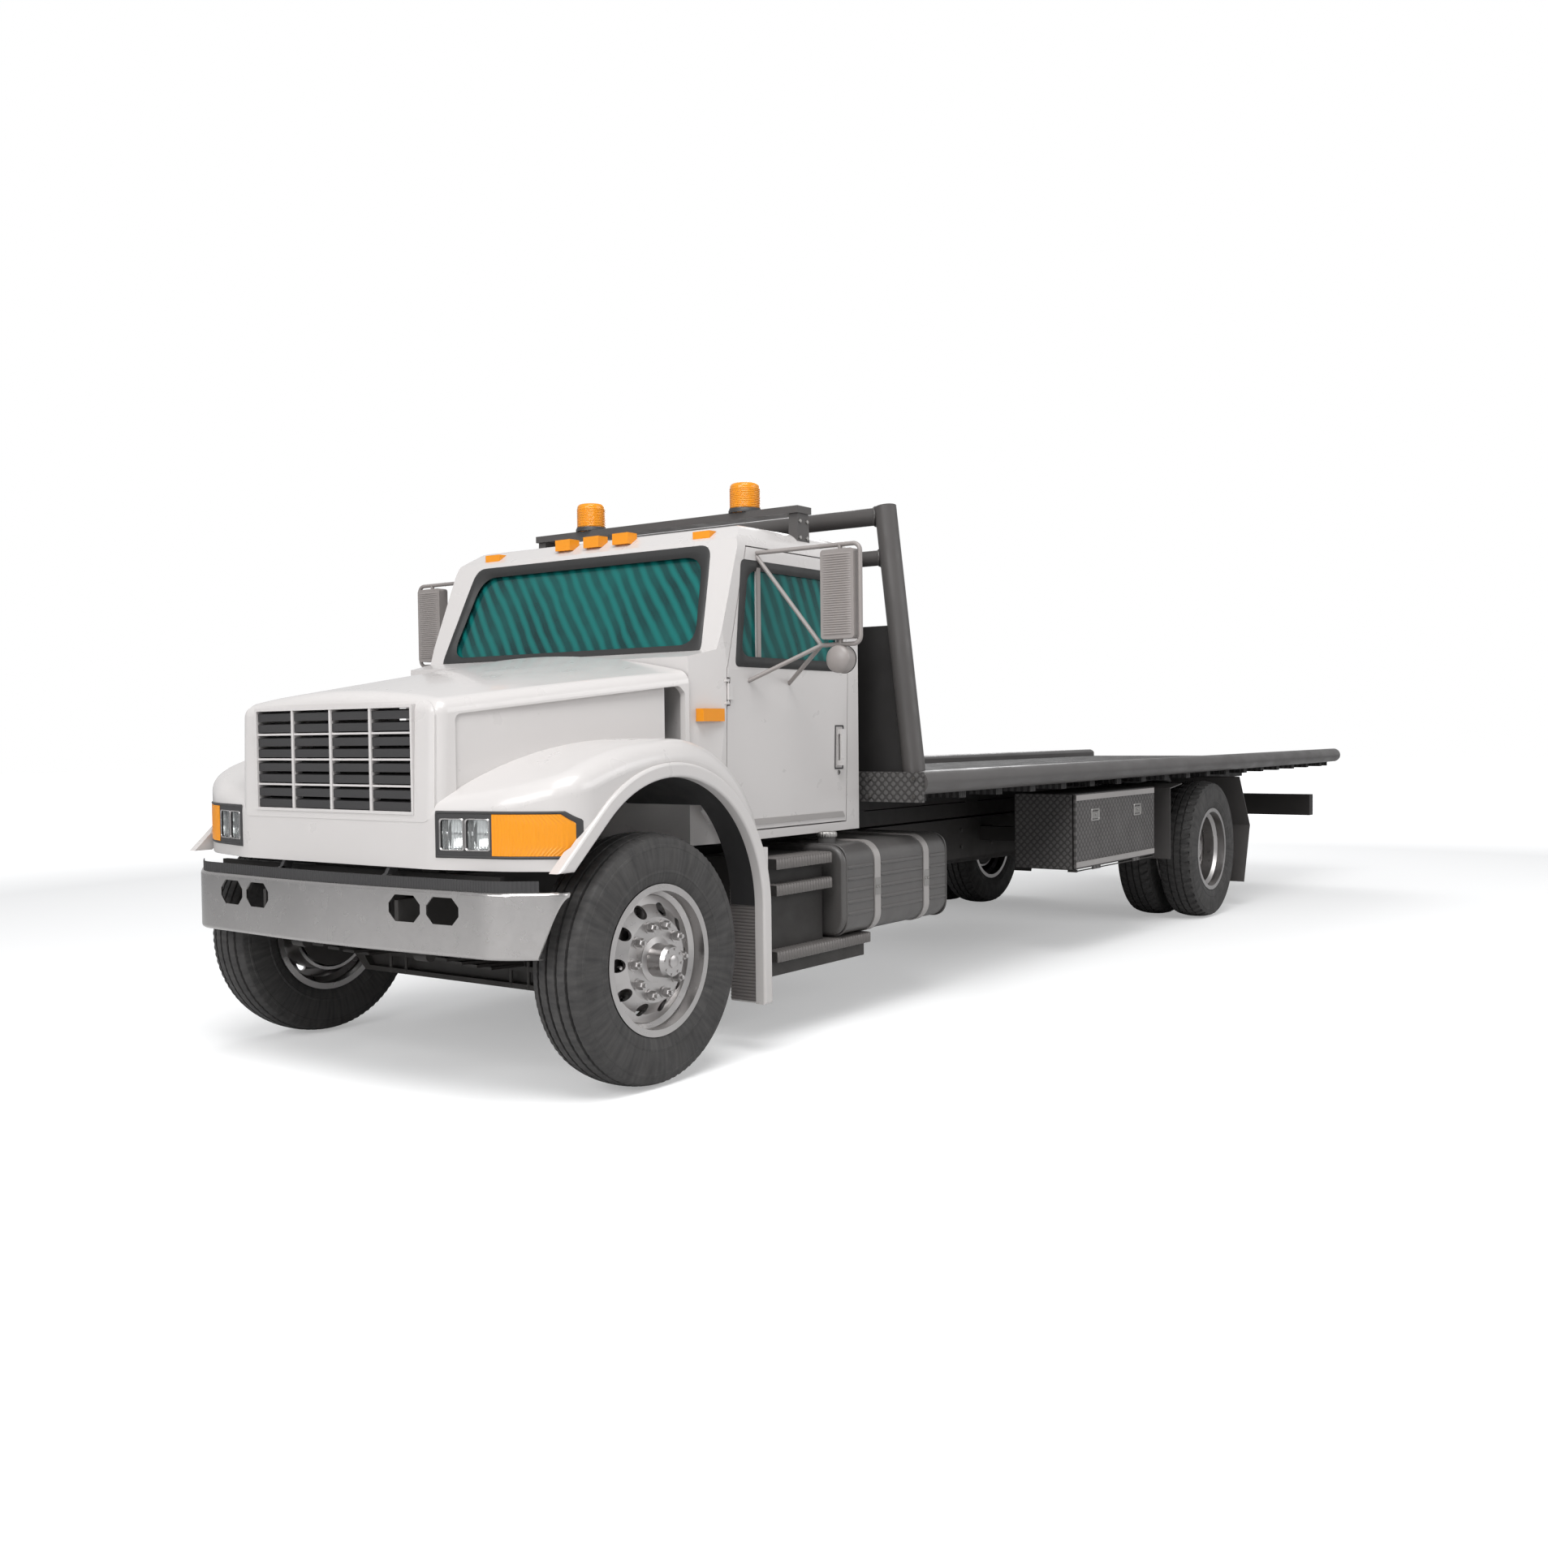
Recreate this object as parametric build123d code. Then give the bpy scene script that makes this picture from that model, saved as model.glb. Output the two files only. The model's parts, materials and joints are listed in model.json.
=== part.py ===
from build123d import *
import math
import os

# A rollback car transporter with a conventional cab. Millimetres, +X forward, +Y left, +Z up.
# The origin is on the ground, under the middle of the overall length.

# Overall layout
bed_tail_reach = 9606.0
bumper_reach = 744.0
wheelbase = 6350.0
front_axle_x = (bed_tail_reach - bumper_reach) / 2
rear_axle_x = front_axle_x - wheelbase

# Clearances
seat_gap = 0.3
panel_gap = 6.0
slide_gap = 0.5

# Tyres and wheels
tyre_radius = 510.0
tyre_width = 254.0
bead_radius = 287.0
rim_flange_radius = 306.0
rim_width = 226.0
rim_lip = 8.0
front_track_half = 1037.0
rear_outer_half = 1078.0
rear_inner_half = 758.0
hand_hole_count = 10
hand_hole_radius = 27.0
hand_hole_circle = 205.0
drum_radius = 212.0
hub_radius = 92.0
spindle_radius = 36.0
axle_tube_radius = 62.0
stud_count = 10
stud_circle = 143.0

# Steering
kingpin_half = 830.0
kingpin_radius = 22.0
knuckle_arm = 190.0
tie_rod_radius = 16.0
beam_drop = 130.0

# Chassis rails
rail_half = 430.0
rail_top = 854.0
rail_height = 254.0
rail_flange = 80.0
rail_wall = 8.0
tie_low = rail_top - rail_height + 60.0
rail_front_x = front_axle_x + 590.0
hinge_x = front_axle_x - 9050.0
rail_rear_x = hinge_x - 90.0

# Tilt frame and bed
tilt_frame_gap = 11.0
tilt_frame_height = 90.0
tilt_frame_half = 420.0
tilt_frame_width = 60.0
tilt_frame_front_x = front_axle_x - 2060.0
tilt_frame_bottom = rail_top + tilt_frame_gap
tilt_frame_top = tilt_frame_bottom + tilt_frame_height
hinge_z = tilt_frame_bottom + tilt_frame_height / 2
hinge_pin_radius = 22.0
pad_height = 5.0
sill_bottom = tilt_frame_top + pad_height + slide_gap
sill_height = 95.0
crossmember_height = 74.0
crossmember_count = 18
crossmember_bottom = sill_bottom + sill_height
floor_bottom = crossmember_bottom + crossmember_height
floor_thick = 20.0
floor_top = floor_bottom + floor_thick
bed_front_x = front_axle_x - 1920.0
bed_tail_x = front_axle_x - bed_tail_reach
bed_half = 1270.0
side_rail_radius = 60.0
side_rail_y = bed_half - side_rail_radius
side_rail_z = floor_top + 5.0
floor_half = side_rail_y - side_rail_radius + 8.0

# Headboard
post_radius = 57.0
post_foot = (front_axle_x - 2000.0, 1165.0)
post_head = (front_axle_x - 2080.0, 950.0)
headboard_top = 2534.0
headboard_plate_top = 1963.0
headboard_mid_rail = 2317.0
cross_pipe_radius = 46.0

# Tilt cylinders
cylinder_y = 535.0
barrel_radius = 43.0
rod_radius = 24.0
eye_radius = 40.0
eye_half = 44.0
cylinder_pin_radius = 18.0
eye_play = 10.2
barrel_base = (hinge_x + 750.0, 600.0)
rod_eye = (hinge_x + 1700.0, hinge_z - 120.0)

# Cab
cab_front_x = front_axle_x - 500.0
cab_back_x = front_axle_x - 1860.0
cab_floor_z = 925.0
cab_half = 950.0
cab_roof_z = 2400.0
cab_wall = 48.0
cab_roof_round = 110.0
cab_brow_round = 90.0
cab_back_round = 60.0
door_front_x = front_axle_x - 722.0
door_back_x = front_axle_x - 1702.0
door_bottom_z = 972.0
door_hinge_x = door_front_x - 1.0
door_hinge_y = cab_half + 1.0
door_hinge_places = (1180.0, 1600.0)
door_top_z = 2262.0
window_front_x = front_axle_x - 800.0
window_back_x = front_axle_x - 1640.0
window_sill_z = 1735.0
window_top_z = 2182.0
glass_thick = 6.0
driver_y = 420.0
screen_bottom = (front_axle_x - 668.0, 1780.0)
screen_top = (front_axle_x - 852.0, 2262.0)
screen_bottom_half = 832.0
screen_top_half = 757.0

# Mirrors
mirror_x = front_axle_x - 1040.0
mirror_y = 1345.0
mirror_half = 88.0
mirror_loop_inner = 1236.0
mirror_loop_outer = 1450.0
mirror_low = 1830.0
mirror_high = 2228.0
mirror_pipe_radius = 10.0

# Hood and fenders
hood_wall = 14.0
hood_back_x = front_axle_x - 490.0
hood_front_x = front_axle_x + 690.0
hood_hinge_x = front_axle_x + 695.0
hood_hinge_z = 862.0
hood_arm_y = 326.0
hood_pin_radius = 8.0
skirt_z = 905.0
nose_half_front = 612.0
nose_half_back = 915.0
nose_top_front = 1610.0
nose_top_back = 1782.0
crown_radius = 4200.0
nose_round = 62.0
panel_sink = 6.0
surround_raise = 7.0
surround_half = 604.0
surround_low = 1085.0
surround_high = 1552.0
fender_half = 1155.0
fender_inner = 966.0
fender_crest = (front_axle_x - 152.0, 1396.0)
fender_front_z = 1150.0
fender_round = 90.0
fender_tail_z = 225.0
fender_tail_x = front_axle_x - 736.0
fender_tail_depth = 44.0
fender_knee = (front_axle_x + 610.0, 930.0)
fender_corner_x = front_axle_x + 480.0
arch_x = front_axle_x - 90.0
arch_z = 655.0
arch_radius = 585.0
arch_front_turn = 47.6
arch_lip = 60.0
lip_raise = 16.0
lip_depth = 35.0
liner_wall = 6.0
liner_inner_y = 560.0
grille_half = 500.0
grille_low = 1112.0
grille_high = 1540.0
grille_columns = 4
grille_rows = 4
lamp_low = 962.0
lamp_high = 1120.0
lamp_inner = 625.0
headlamp_outer = 862.0
lamp_outer = 1136.0

# Front bumper
bumper_low = 578.0
bumper_high = 832.0
bumper_half = 1140.0
bumper_half_low = 1060.0
bumper_bow = 6000.0
bumper_sweep = 52.0
bumper_corner = (front_axle_x + 545.0, 925.0)
bumper_corner_radius = 240.0
bumper_end_x = front_axle_x + 500.0
bumper_hole_places = (469.0, 670.0)
bumper_hole_z = 752.0
bumper_hole_size = (168.0, 104.0, 34.0)
bumper_round = 14.0
bumper_wall = 6.0
bumper_flange = 26.0

# Side equipment
step_half = 1080.0
tank_half = 1120.0
tank_inner = 520.0
tank_low = 432.0
tank_high = 872.0
tank_round = 92.0
tank_end_round = 22.0
strap_thick = 6.0
strap_width = 52.0
toolbox_half = 1200.0
toolbox_inner = 790.0
toolbox_front_x = front_axle_x - 3870.0
toolbox_back_x = front_axle_x - 5160.0
toolbox_low = 552.0
toolbox_high = 1020.0
toolbox_wall = 4.0


def fx(offset):
    # Place along the length, counted from the front axle.
    return front_axle_x + offset


def face_of(points, radius=0):
    # Closed flat face of 2-D points, with rounded corners where a radius is given.
    if radius:
        return make_face(FilletPolyline(*points, radius=radius, close=True))
    return make_face(Polyline(*points, close=True))


def side_prism(points, low_y, high_y, radius=0):
    # Outline in x and z, carried across from low_y to high_y.
    plane = Plane(origin=(0, high_y, 0), x_dir=(1, 0, 0), z_dir=(0, -1, 0))
    return extrude(plane * face_of(points, radius), amount=high_y - low_y)


def plan_prism(points, low_z, high_z, radius=0):
    # Outline in x and y, carried up from low_z to high_z.
    return extrude(Pos(0, 0, low_z) * face_of(points, radius), amount=high_z - low_z)


def front_prism(points, low_x, high_x, radius=0):
    # Outline in y and z, carried forward from low_x to high_x.
    plane = Plane(origin=(low_x, 0, 0), x_dir=(0, 1, 0), z_dir=(1, 0, 0))
    return extrude(plane * face_of(points, radius), amount=high_x - low_x)


def block(low_x, high_x, low_y, high_y, low_z, high_z):
    size = (high_x - low_x, high_y - low_y, high_z - low_z)
    middle = ((low_x + high_x) / 2, (low_y + high_y) / 2, (low_z + high_z) / 2)
    return Pos(*middle) * Box(*size)


def tube_between(start, end, radius):
    # Round bar from one point to another.
    direction = Vector(*end) - Vector(*start)
    plane = Plane(origin=start, z_dir=direction)
    return extrude(plane * Circle(radius), amount=direction.length)


def cross_bar(x, z, low_y, high_y, radius):
    return tube_between((x, low_y, z), (x, high_y, z), radius)


def mirrored(shape):
    return mirror(shape, about=Plane.XZ)


def both_sides(shape):
    return shape + mirrored(shape)


def turned(points, x, y, z, outward=1):
    # Revolve an outline of radius and offset about the wheel's own axis.
    outline = [(radius, outward * offset) for radius, offset in points]
    return Pos(x, y, z) * revolve(face_of(outline), axis=Axis.Y)


def ring_of(shape, count, x, z):
    # Copies of a shape round a wheel's axis.
    axis = Axis((x, 0, z), (0, 1, 0))
    copies = [shape.rotate(axis, 360 / count * index) for index in range(count)]
    return copies


# Wheels and tyres
def tyre(x, y, outward):
    half = tyre_width / 2
    bead = bead_radius + seat_gap
    seat = rim_width / 2 - rim_lip - seat_gap
    # columns: radius, offset from the tyre's middle plane
    side = [
        (bead, seat),
        (rim_flange_radius + seat_gap, seat),
        (rim_flange_radius + 12, half - 9),
        (bead_radius + 110, half),
        (tyre_radius - 45, half - 10),
        (tyre_radius - 10, half - 30),
        (tyre_radius, half - 70),
    ]
    cavity = [(bead, -seat + 26), (tyre_radius - 30, -half + 42), (tyre_radius - 30, half - 42),
              (bead, seat - 26)]
    outline = side + [(radius, -offset) for radius, offset in reversed(side)] + cavity
    return turned(outline, x, y, tyre_radius, outward)


def rim(outward):
    # Barrel with a flange at each edge and a drop centre.
    half = rim_width / 2
    outline = [
        (rim_flange_radius, half),
        (rim_flange_radius, half - 7),
        (bead_radius, half - 8),
        (bead_radius, 62),
        (bead_radius - 24, 42),
        (bead_radius - 24, -42),
        (bead_radius, -62),
        (bead_radius, -half + 8),
        (rim_flange_radius, -half + 7),
        (rim_flange_radius, -half),
        (bead_radius - 9, -half),
        (bead_radius - 9, -58),
        (bead_radius - 33, -38),
        (bead_radius - 33, 38),
        (bead_radius - 9, 58),
        (bead_radius - 9, half),
    ]
    return turned(outline, 0, 0, 0, outward)


def holed_disc(face_y, edge_y, reach, outward):
    # Wheel disc from the hub face to the barrel, with round hand holes.
    outline = [
        (hub_radius - 10, face_y),
        (172, face_y),
        (222, edge_y + 6),
        (reach, edge_y),
        (reach, edge_y - 14),
        (222, edge_y - 8),
        (172, face_y - 14),
        (hub_radius - 10, face_y - 14),
    ]
    disc = turned(outline, 0, 0, 0, outward)
    middle = outward * (face_y + edge_y) / 2
    hole = cross_bar(hand_hole_circle, 0, middle - 60, middle + 60, hand_hole_radius)
    return disc - ring_of(hole, hand_hole_count, 0, 0)


def studs(face_y, length, outward):
    nut = cross_bar(stud_circle, 0, min(0, outward) * length, max(0, outward) * length, 15)
    nut = Pos(0, outward * face_y, 0) * nut
    return ring_of(nut, stud_count, 0, 0)


def front_wheel(side):
    # Disc wheel with its brake drum, hub and cap, all turning together.
    bore = spindle_radius + seat_gap
    hub = turned(
        [(bore, -60), (bore, 120), (0, 120), (0, 178), (58, 178), (66, 160), (68, 96),
         (hub_radius, 90), (hub_radius, -60)],
        0, 0, 0, side)
    drum = turned(
        [(hub_radius - 20, 34), (150, 34), (drum_radius, 20), (drum_radius, -118),
         (drum_radius - 14, -118), (drum_radius - 14, 6), (hub_radius - 20, 6)],
        0, 0, 0, side)
    plain = rim(side) + holed_disc(88, 44, bead_radius - 30, side) + hub + drum
    wheel = plain + studs(88, 24, side)
    return Pos(front_axle_x, side * front_track_half, tyre_radius) * wheel


def rear_wheels(side):
    # Two disc wheels back to back on one hub.
    middle = (rear_outer_half + rear_inner_half) / 2
    outer_offset = rear_outer_half - middle
    inner_offset = rear_inner_half - middle
    bore = spindle_radius + seat_gap
    hub = turned(
        [(bore, -150), (bore, 60), (0, 60), (0, 168), (74, 168), (86, 150), (88, 40),
         (hub_radius, 30), (hub_radius, -150)],
        0, 0, 0, side)
    drum = turned(
        [(hub_radius - 20, -30), (160, -30), (drum_radius, -46), (drum_radius, -190),
         (drum_radius - 14, -190), (drum_radius - 14, -60), (hub_radius - 20, -60)],
        0, 0, 0, side)
    outer = Pos(0, side * outer_offset, 0) * rim(side)
    inner = Pos(0, side * inner_offset, 0) * rim(side)
    outer_disc = holed_disc(14, outer_offset - 64, bead_radius - 5, side)
    inner_disc = mirrored(holed_disc(14, outer_offset - 64, bead_radius - 5, side))
    wheel = outer + inner + outer_disc + inner_disc + hub + drum
    wheel = wheel + studs(14, 34, side)
    return Pos(rear_axle_x, side * middle, tyre_radius) * wheel


# Front axle, knuckles and tie rod
def front_axle():
    # Dropped I-beam with a round eye at each kingpin.
    z = tyre_radius
    low = z - beam_drop
    outline = [
        (-kingpin_half, z - 45), (-kingpin_half + 60, z - 45), (-kingpin_half + 210, low - 50),
        (kingpin_half - 210, low - 50), (kingpin_half - 60, z - 45), (kingpin_half, z - 45),
        (kingpin_half, z + 45), (kingpin_half - 80, z + 45), (kingpin_half - 250, low + 50),
        (-kingpin_half + 250, low + 50), (-kingpin_half + 80, z + 45), (-kingpin_half, z + 45),
    ]
    web = front_prism(outline, front_axle_x - 44, front_axle_x + 44)
    groove = [
        (-kingpin_half + 130, z - 30), (-kingpin_half + 240, low - 28),
        (kingpin_half - 240, low - 28), (kingpin_half - 130, z - 30),
        (kingpin_half - 130, z + 12), (kingpin_half - 262, low + 28),
        (-kingpin_half + 262, low + 28), (-kingpin_half + 130, z + 12),
    ]
    beam = web - front_prism(groove, front_axle_x - 45, front_axle_x - 12)
    beam = beam - front_prism(groove, front_axle_x + 12, front_axle_x + 45)
    boss = Pos(front_axle_x, kingpin_half, z) * Cylinder(46, 90)
    bore = Pos(front_axle_x, kingpin_half, z) * Cylinder(kingpin_radius + seat_gap, 120)
    return beam + both_sides(boss) - both_sides(bore)


def knuckle(side):
    # Forked yoke with its kingpin, spindle, brake shield and steering arm.
    z = tyre_radius
    fork_half = 45 + panel_gap
    outer = kingpin_half + 46 + panel_gap
    pin = Pos(front_axle_x, kingpin_half, z) * Cylinder(kingpin_radius, 2 * fork_half + 40)
    jaw = block(front_axle_x - 40, front_axle_x + 40, kingpin_half - 34, outer + 30,
                z + fork_half, z + fork_half + 28)
    jaw_low = block(front_axle_x - 40, front_axle_x + 40, kingpin_half - 34, outer + 30,
                    z - fork_half - 28, z - fork_half)
    back = block(front_axle_x - 40, front_axle_x + 40, outer, outer + 30,
                 z - fork_half - 28, z + fork_half + 28)
    spindle_end = front_track_half + 100
    spindle = cross_bar(front_axle_x, z, outer + 20, spindle_end, spindle_radius)
    shield = cross_bar(front_axle_x, z, outer + 26, outer + 31, drum_radius - 22)
    arm_z = z - fork_half - 28
    arm = block(front_axle_x - knuckle_arm - 20, front_axle_x, kingpin_half - 24, kingpin_half + 24,
                arm_z, arm_z + 24)
    ball = Pos(front_axle_x - knuckle_arm, kingpin_half, arm_z - 22) * Cylinder(12, 46)
    whole = pin + jaw + jaw_low + back + spindle + shield + arm + ball
    return whole if side > 0 else mirrored(whole)


def tie_rod():
    # Bar between the two steering arms, with a socket round each ball stud.
    z = tyre_radius - 45 - panel_gap - 28 - 30
    x = front_axle_x - knuckle_arm
    bar = cross_bar(x, z, -kingpin_half + 20, kingpin_half - 20, tie_rod_radius)
    socket = Pos(x, kingpin_half, z) * Cylinder(26, 34)
    bore = Pos(x, kingpin_half, z) * Cylinder(12 + seat_gap, 40)
    return bar + both_sides(socket) - both_sides(bore)


# Springs
def leaf_pack(x, low_z, half_length, y, leaves):
    # Leaves of one pack, each shorter than the one above it.
    width = 38.0
    thick = 12.0
    pack = None
    for index in range(leaves):
        reach = half_length * (1 - 0.72 * index / leaves)
        top = low_z + (leaves - index) * thick
        rise = 60.0 * (reach / half_length) ** 2
        outline = [(x - reach, top - thick + rise), (x, top - thick), (x + reach, top - thick + rise),
                   (x + reach, top + rise), (x, top), (x - reach, top + rise)]
        leaf = side_prism(outline, y - width, y + width)
        pack = leaf if pack is None else pack + leaf
    return pack + block(x - 50, x + 50, y - width - 6, y + width + 6, low_z, low_z + leaves * thick + 8)


def leaf_springs():
    front_y = 392.0
    front_seat = tyre_radius - beam_drop + 50 + seat_gap
    front = leaf_pack(front_axle_x, front_seat, 560.0, front_y, 5)
    front += cross_bar(front_axle_x + 560, front_seat + 114, front_y - 38, front_y + 38, 26)
    front += cross_bar(front_axle_x - 560, front_seat + 114, front_y - 38, front_y + 38, 26)
    for offset in (560.0, -560.0):
        front += block(fx(offset) - 22, fx(offset) + 22, front_y - 30, front_y + 30,
                       front_seat + 114, rail_top - rail_height - seat_gap)
    rear_y = rail_half + 52
    rear_seat = tyre_radius + axle_tube_radius + seat_gap
    rear = leaf_pack(rear_axle_x, rear_seat, 700.0, rear_y, 6)
    for offset in (700.0, -700.0):
        x = rear_axle_x + offset
        rear += cross_bar(x, rear_seat + 126, rear_y - 38, rear_y + 38, 28)
        rear += block(x - 24, x + 24, rail_half + seat_gap, rear_y + 20, rear_seat + 100, rear_seat + 200)
    return both_sides(front) + both_sides(rear)


# Rear axle and drive shaft
def rear_axle():
    z = tyre_radius
    middle = (rear_outer_half + rear_inner_half) / 2
    tube = cross_bar(rear_axle_x, z, -middle + 196, middle - 196, axle_tube_radius)
    spindle = cross_bar(rear_axle_x, z, middle - 200, middle + 50, spindle_radius)
    shield = cross_bar(rear_axle_x, z, middle - 200, middle - 196, drum_radius - 22)
    bowl = Pos(rear_axle_x, 0, z) * Sphere(205)
    bowl = bowl & block(rear_axle_x - 190, rear_axle_x + 230, -120, 120, z - 205, z + 205)
    nose = tube_between((rear_axle_x, 0, z), (rear_axle_x + 330, 0, z + 12), 78)
    shaft_front = (fx(-1451), 0, 600)
    shaft = tube_between((rear_axle_x + 320, 0, z + 12), shaft_front, 50)
    flange = tube_between((rear_axle_x + 320, 0, z + 12), (rear_axle_x + 350, 0, z + 13), 84)
    return tube + both_sides(spindle + shield) + bowl + nose + flange + shaft


# Chassis
def chassis_frame():
    # Two channel rails tied by cross members, with the hinge ears at the back.
    low = rail_top - rail_height
    solid = block(rail_rear_x, rail_front_x, rail_half - rail_flange, rail_half, low, rail_top)
    hollow = block(rail_rear_x - 1, rail_front_x + 1, rail_half - rail_flange - 1,
                   rail_half - rail_wall, low + rail_wall, rail_top - rail_wall)
    frame = both_sides(solid - hollow)
    # column: place of each cross member behind the front axle
    for offset in (475.0, -1600.0, -2300.0, -3700.0, -5100.0, -5850.0, -6900.0, -8000.0, -9020.0):
        x = fx(offset)
        tie = block(x - 45, x + 45, -rail_half + rail_wall, rail_half - rail_wall,
                    tie_low, rail_top - 60)
        core = block(x - 39, x + 39, -rail_half + 90, rail_half - 90, tie_low + 6, rail_top - 66)
        frame += tie - core
    for offset in (-720.0, -1720.0):
        frame += both_sides(block(fx(offset) - 45, fx(offset) + 45, rail_half - rail_flange, rail_half,
                                  rail_top, cab_floor_z - seat_gap))
    ear = side_prism(
        [(hinge_x - 60, low + 40), (hinge_x + 90, low + 40), (hinge_x + 45, hinge_z),
         (hinge_x + 30, hinge_z + 36), (hinge_x - 30, hinge_z + 36), (hinge_x - 45, hinge_z)],
        rail_half, rail_half + 14)
    pin = cross_bar(hinge_x, hinge_z, tilt_frame_half - tilt_frame_width - 12, rail_half + 22,
                    hinge_pin_radius)
    clevis_x, clevis_z = barrel_base
    lug_inner = side_prism(
        [(clevis_x - 70, low + 20), (clevis_x - 70, clevis_z + 60), (clevis_x + 60, clevis_z + 60),
         (clevis_x + 34, clevis_z - 34), (clevis_x - 34, clevis_z - 34)],
        cylinder_y - eye_half - 18, cylinder_y - eye_half - 6)
    lug_outer = Pos(0, 2 * eye_half + 24, 0) * lug_inner
    bracket = block(clevis_x - 70, clevis_x - eye_radius - 9, rail_half, cylinder_y + eye_half + 18,
                    clevis_z - 20, clevis_z + 60)
    clevis_pin = cross_bar(clevis_x, clevis_z, cylinder_y - eye_half - 24,
                           cylinder_y + eye_half + 24, cylinder_pin_radius)
    frame += both_sides(ear + pin + lug_inner + lug_outer + bracket + clevis_pin)
    return frame


def engine_block():
    body = block(fx(-420), fx(330), -270, 270, 640, 1390)
    sump = block(fx(-380), fx(-120), -170, 170, 560, 640)
    gearbox = block(fx(-1450), fx(-420), -180, 180, 560, 880)
    return body + sump + gearbox


def radiator():
    half = rail_half - rail_flange - 10
    core = block(fx(430), fx(520), -half, half, rail_top - 60 + seat_gap, 1470)
    return core


def bumper_plan(depth):
    # Plan of the bumper's front line, moved back by a depth, closed behind it.
    end_x, corner_y = bumper_corner
    corner_x = fx(bumper_reach) - bumper_sweep
    peak_x = fx(bumper_reach) + bumper_bow * (math.hypot(1, bumper_sweep / corner_y) - 1)
    half = [(fx(250), bumper_half), (end_x, bumper_half), (corner_x, corner_y), (peak_x, 0)]
    points = [(x, -y) for x, y in half] + half[2::-1]
    radii = [0, 90, bumper_corner_radius, bumper_bow, bumper_corner_radius, 90, 0]
    face = make_face(FilletPolyline(*points, radius=radii, close=True))
    return offset(face, amount=-depth) if depth else face


def bumper_form(depth, low, high, rounding):
    # Upright body on the bumper's plan with rolled upper and lower edges.
    body = extrude(Pos(0, 0, low) * bumper_plan(depth), amount=high - low, dir=(0, 0, 1))
    levels = body.edges().group_by(Axis.Z)
    return fillet(levels[0] + levels[-1], rounding)


def front_bumper():
    # Bowed channel with rolled edges and raked ends, and two pairs of eight-sided openings.
    bumper = bumper_form(0, bumper_low, bumper_high, bumper_round)
    bumper -= bumper_form(bumper_wall, bumper_low + bumper_wall, bumper_high - bumper_wall,
                          bumper_round - bumper_wall)
    bumper -= extrude(Pos(0, 0, bumper_low - 1) * bumper_plan(bumper_flange),
                      amount=bumper_high - bumper_low + 2, dir=(0, 0, 1))
    rake = [(-bumper_half_low, bumper_low - 1), (bumper_half_low, bumper_low - 1),
            (bumper_half + 1, bumper_high + 1), (-bumper_half - 1, bumper_high + 1)]
    bumper &= front_prism(rake, bumper_end_x, fx(bumper_reach) + 50)
    width, height, clip = bumper_hole_size
    holes = None
    for y in bumper_hole_places:
        outline = []
        # columns: signs of y and z of each corner
        for sign_y, sign_z in ((1, -1), (1, 1), (-1, 1), (-1, -1)):
            flat = (y + sign_y * (width / 2 - clip), bumper_hole_z + sign_z * height / 2)
            upright = (y + sign_y * width / 2, bumper_hole_z + sign_z * (height / 2 - clip))
            outline += [flat, upright] if sign_y * sign_z < 0 else [upright, flat]
        hole = front_prism(outline, bumper_end_x, fx(bumper_reach) + 60)
        holes = hole if holes is None else holes + hole
    return bumper - both_sides(holes)


def bumper_brackets():
    # Arms from the rails to the bumper, the dark strip above it and the hood's hinge plates.
    arm = block(rail_front_x - 60, fx(bumper_reach), rail_half - 20, rail_half, 640, 780)
    arm &= extrude(Pos(0, 0, bumper_low) * bumper_plan(bumper_wall + seat_gap), amount=bumper_high - bumper_low,
                   dir=(0, 0, 1))
    plate = side_prism(
        [(fx(520), 604), (fx(590), 604), (hood_hinge_x + 14, hood_hinge_z - 14),
         (hood_hinge_x + 14, hood_hinge_z + 12), (hood_hinge_x - 12, hood_hinge_z + 14), (fx(590), 850),
         (fx(520), 850)],
        hood_arm_y + 19, hood_arm_y + 31)
    pin = cross_bar(hood_hinge_x, hood_hinge_z, hood_arm_y, hood_arm_y + 31, hood_pin_radius)
    strip = block(rail_front_x - 4, rail_front_x + 18, -880, 880, bumper_high + 4, skirt_z - 23)
    return both_sides(arm + plate + pin) + strip


# Hood
def crown(drop, front_x, back_x):
    # Long body under the arched, rising hood top.
    rise = (nose_top_back - nose_top_front) / (fx(590) - hood_back_x)
    start_z = nose_top_front - rise * (front_x - fx(590)) - drop
    half = 1100.0
    sag = crown_radius - math.sqrt(crown_radius ** 2 - half ** 2)
    top = ThreePointArc((-half, start_z - sag), (0, start_z), (half, start_z - sag))
    low = Polyline((half, start_z - sag), (half, 600), (-half, 600), (-half, start_z - sag))
    plane = Plane(origin=(front_x, 0, 0), x_dir=(0, 1, 0), z_dir=(1, 0, 0))
    section = plane * make_face(Wire([top.edge()] + list(low.edges())))
    travel = Vector(back_x - front_x, 0, rise * (front_x - back_x))
    return extrude(section, amount=travel.length, dir=travel.normalized())


def nose_plan(inset, open_back):
    front = hood_front_x - inset
    back = hood_back_x - open_back
    return [(front, nose_half_front - inset), (back, nose_half_back - inset),
            (back, -nose_half_back + inset), (front, -nose_half_front + inset)]


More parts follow.
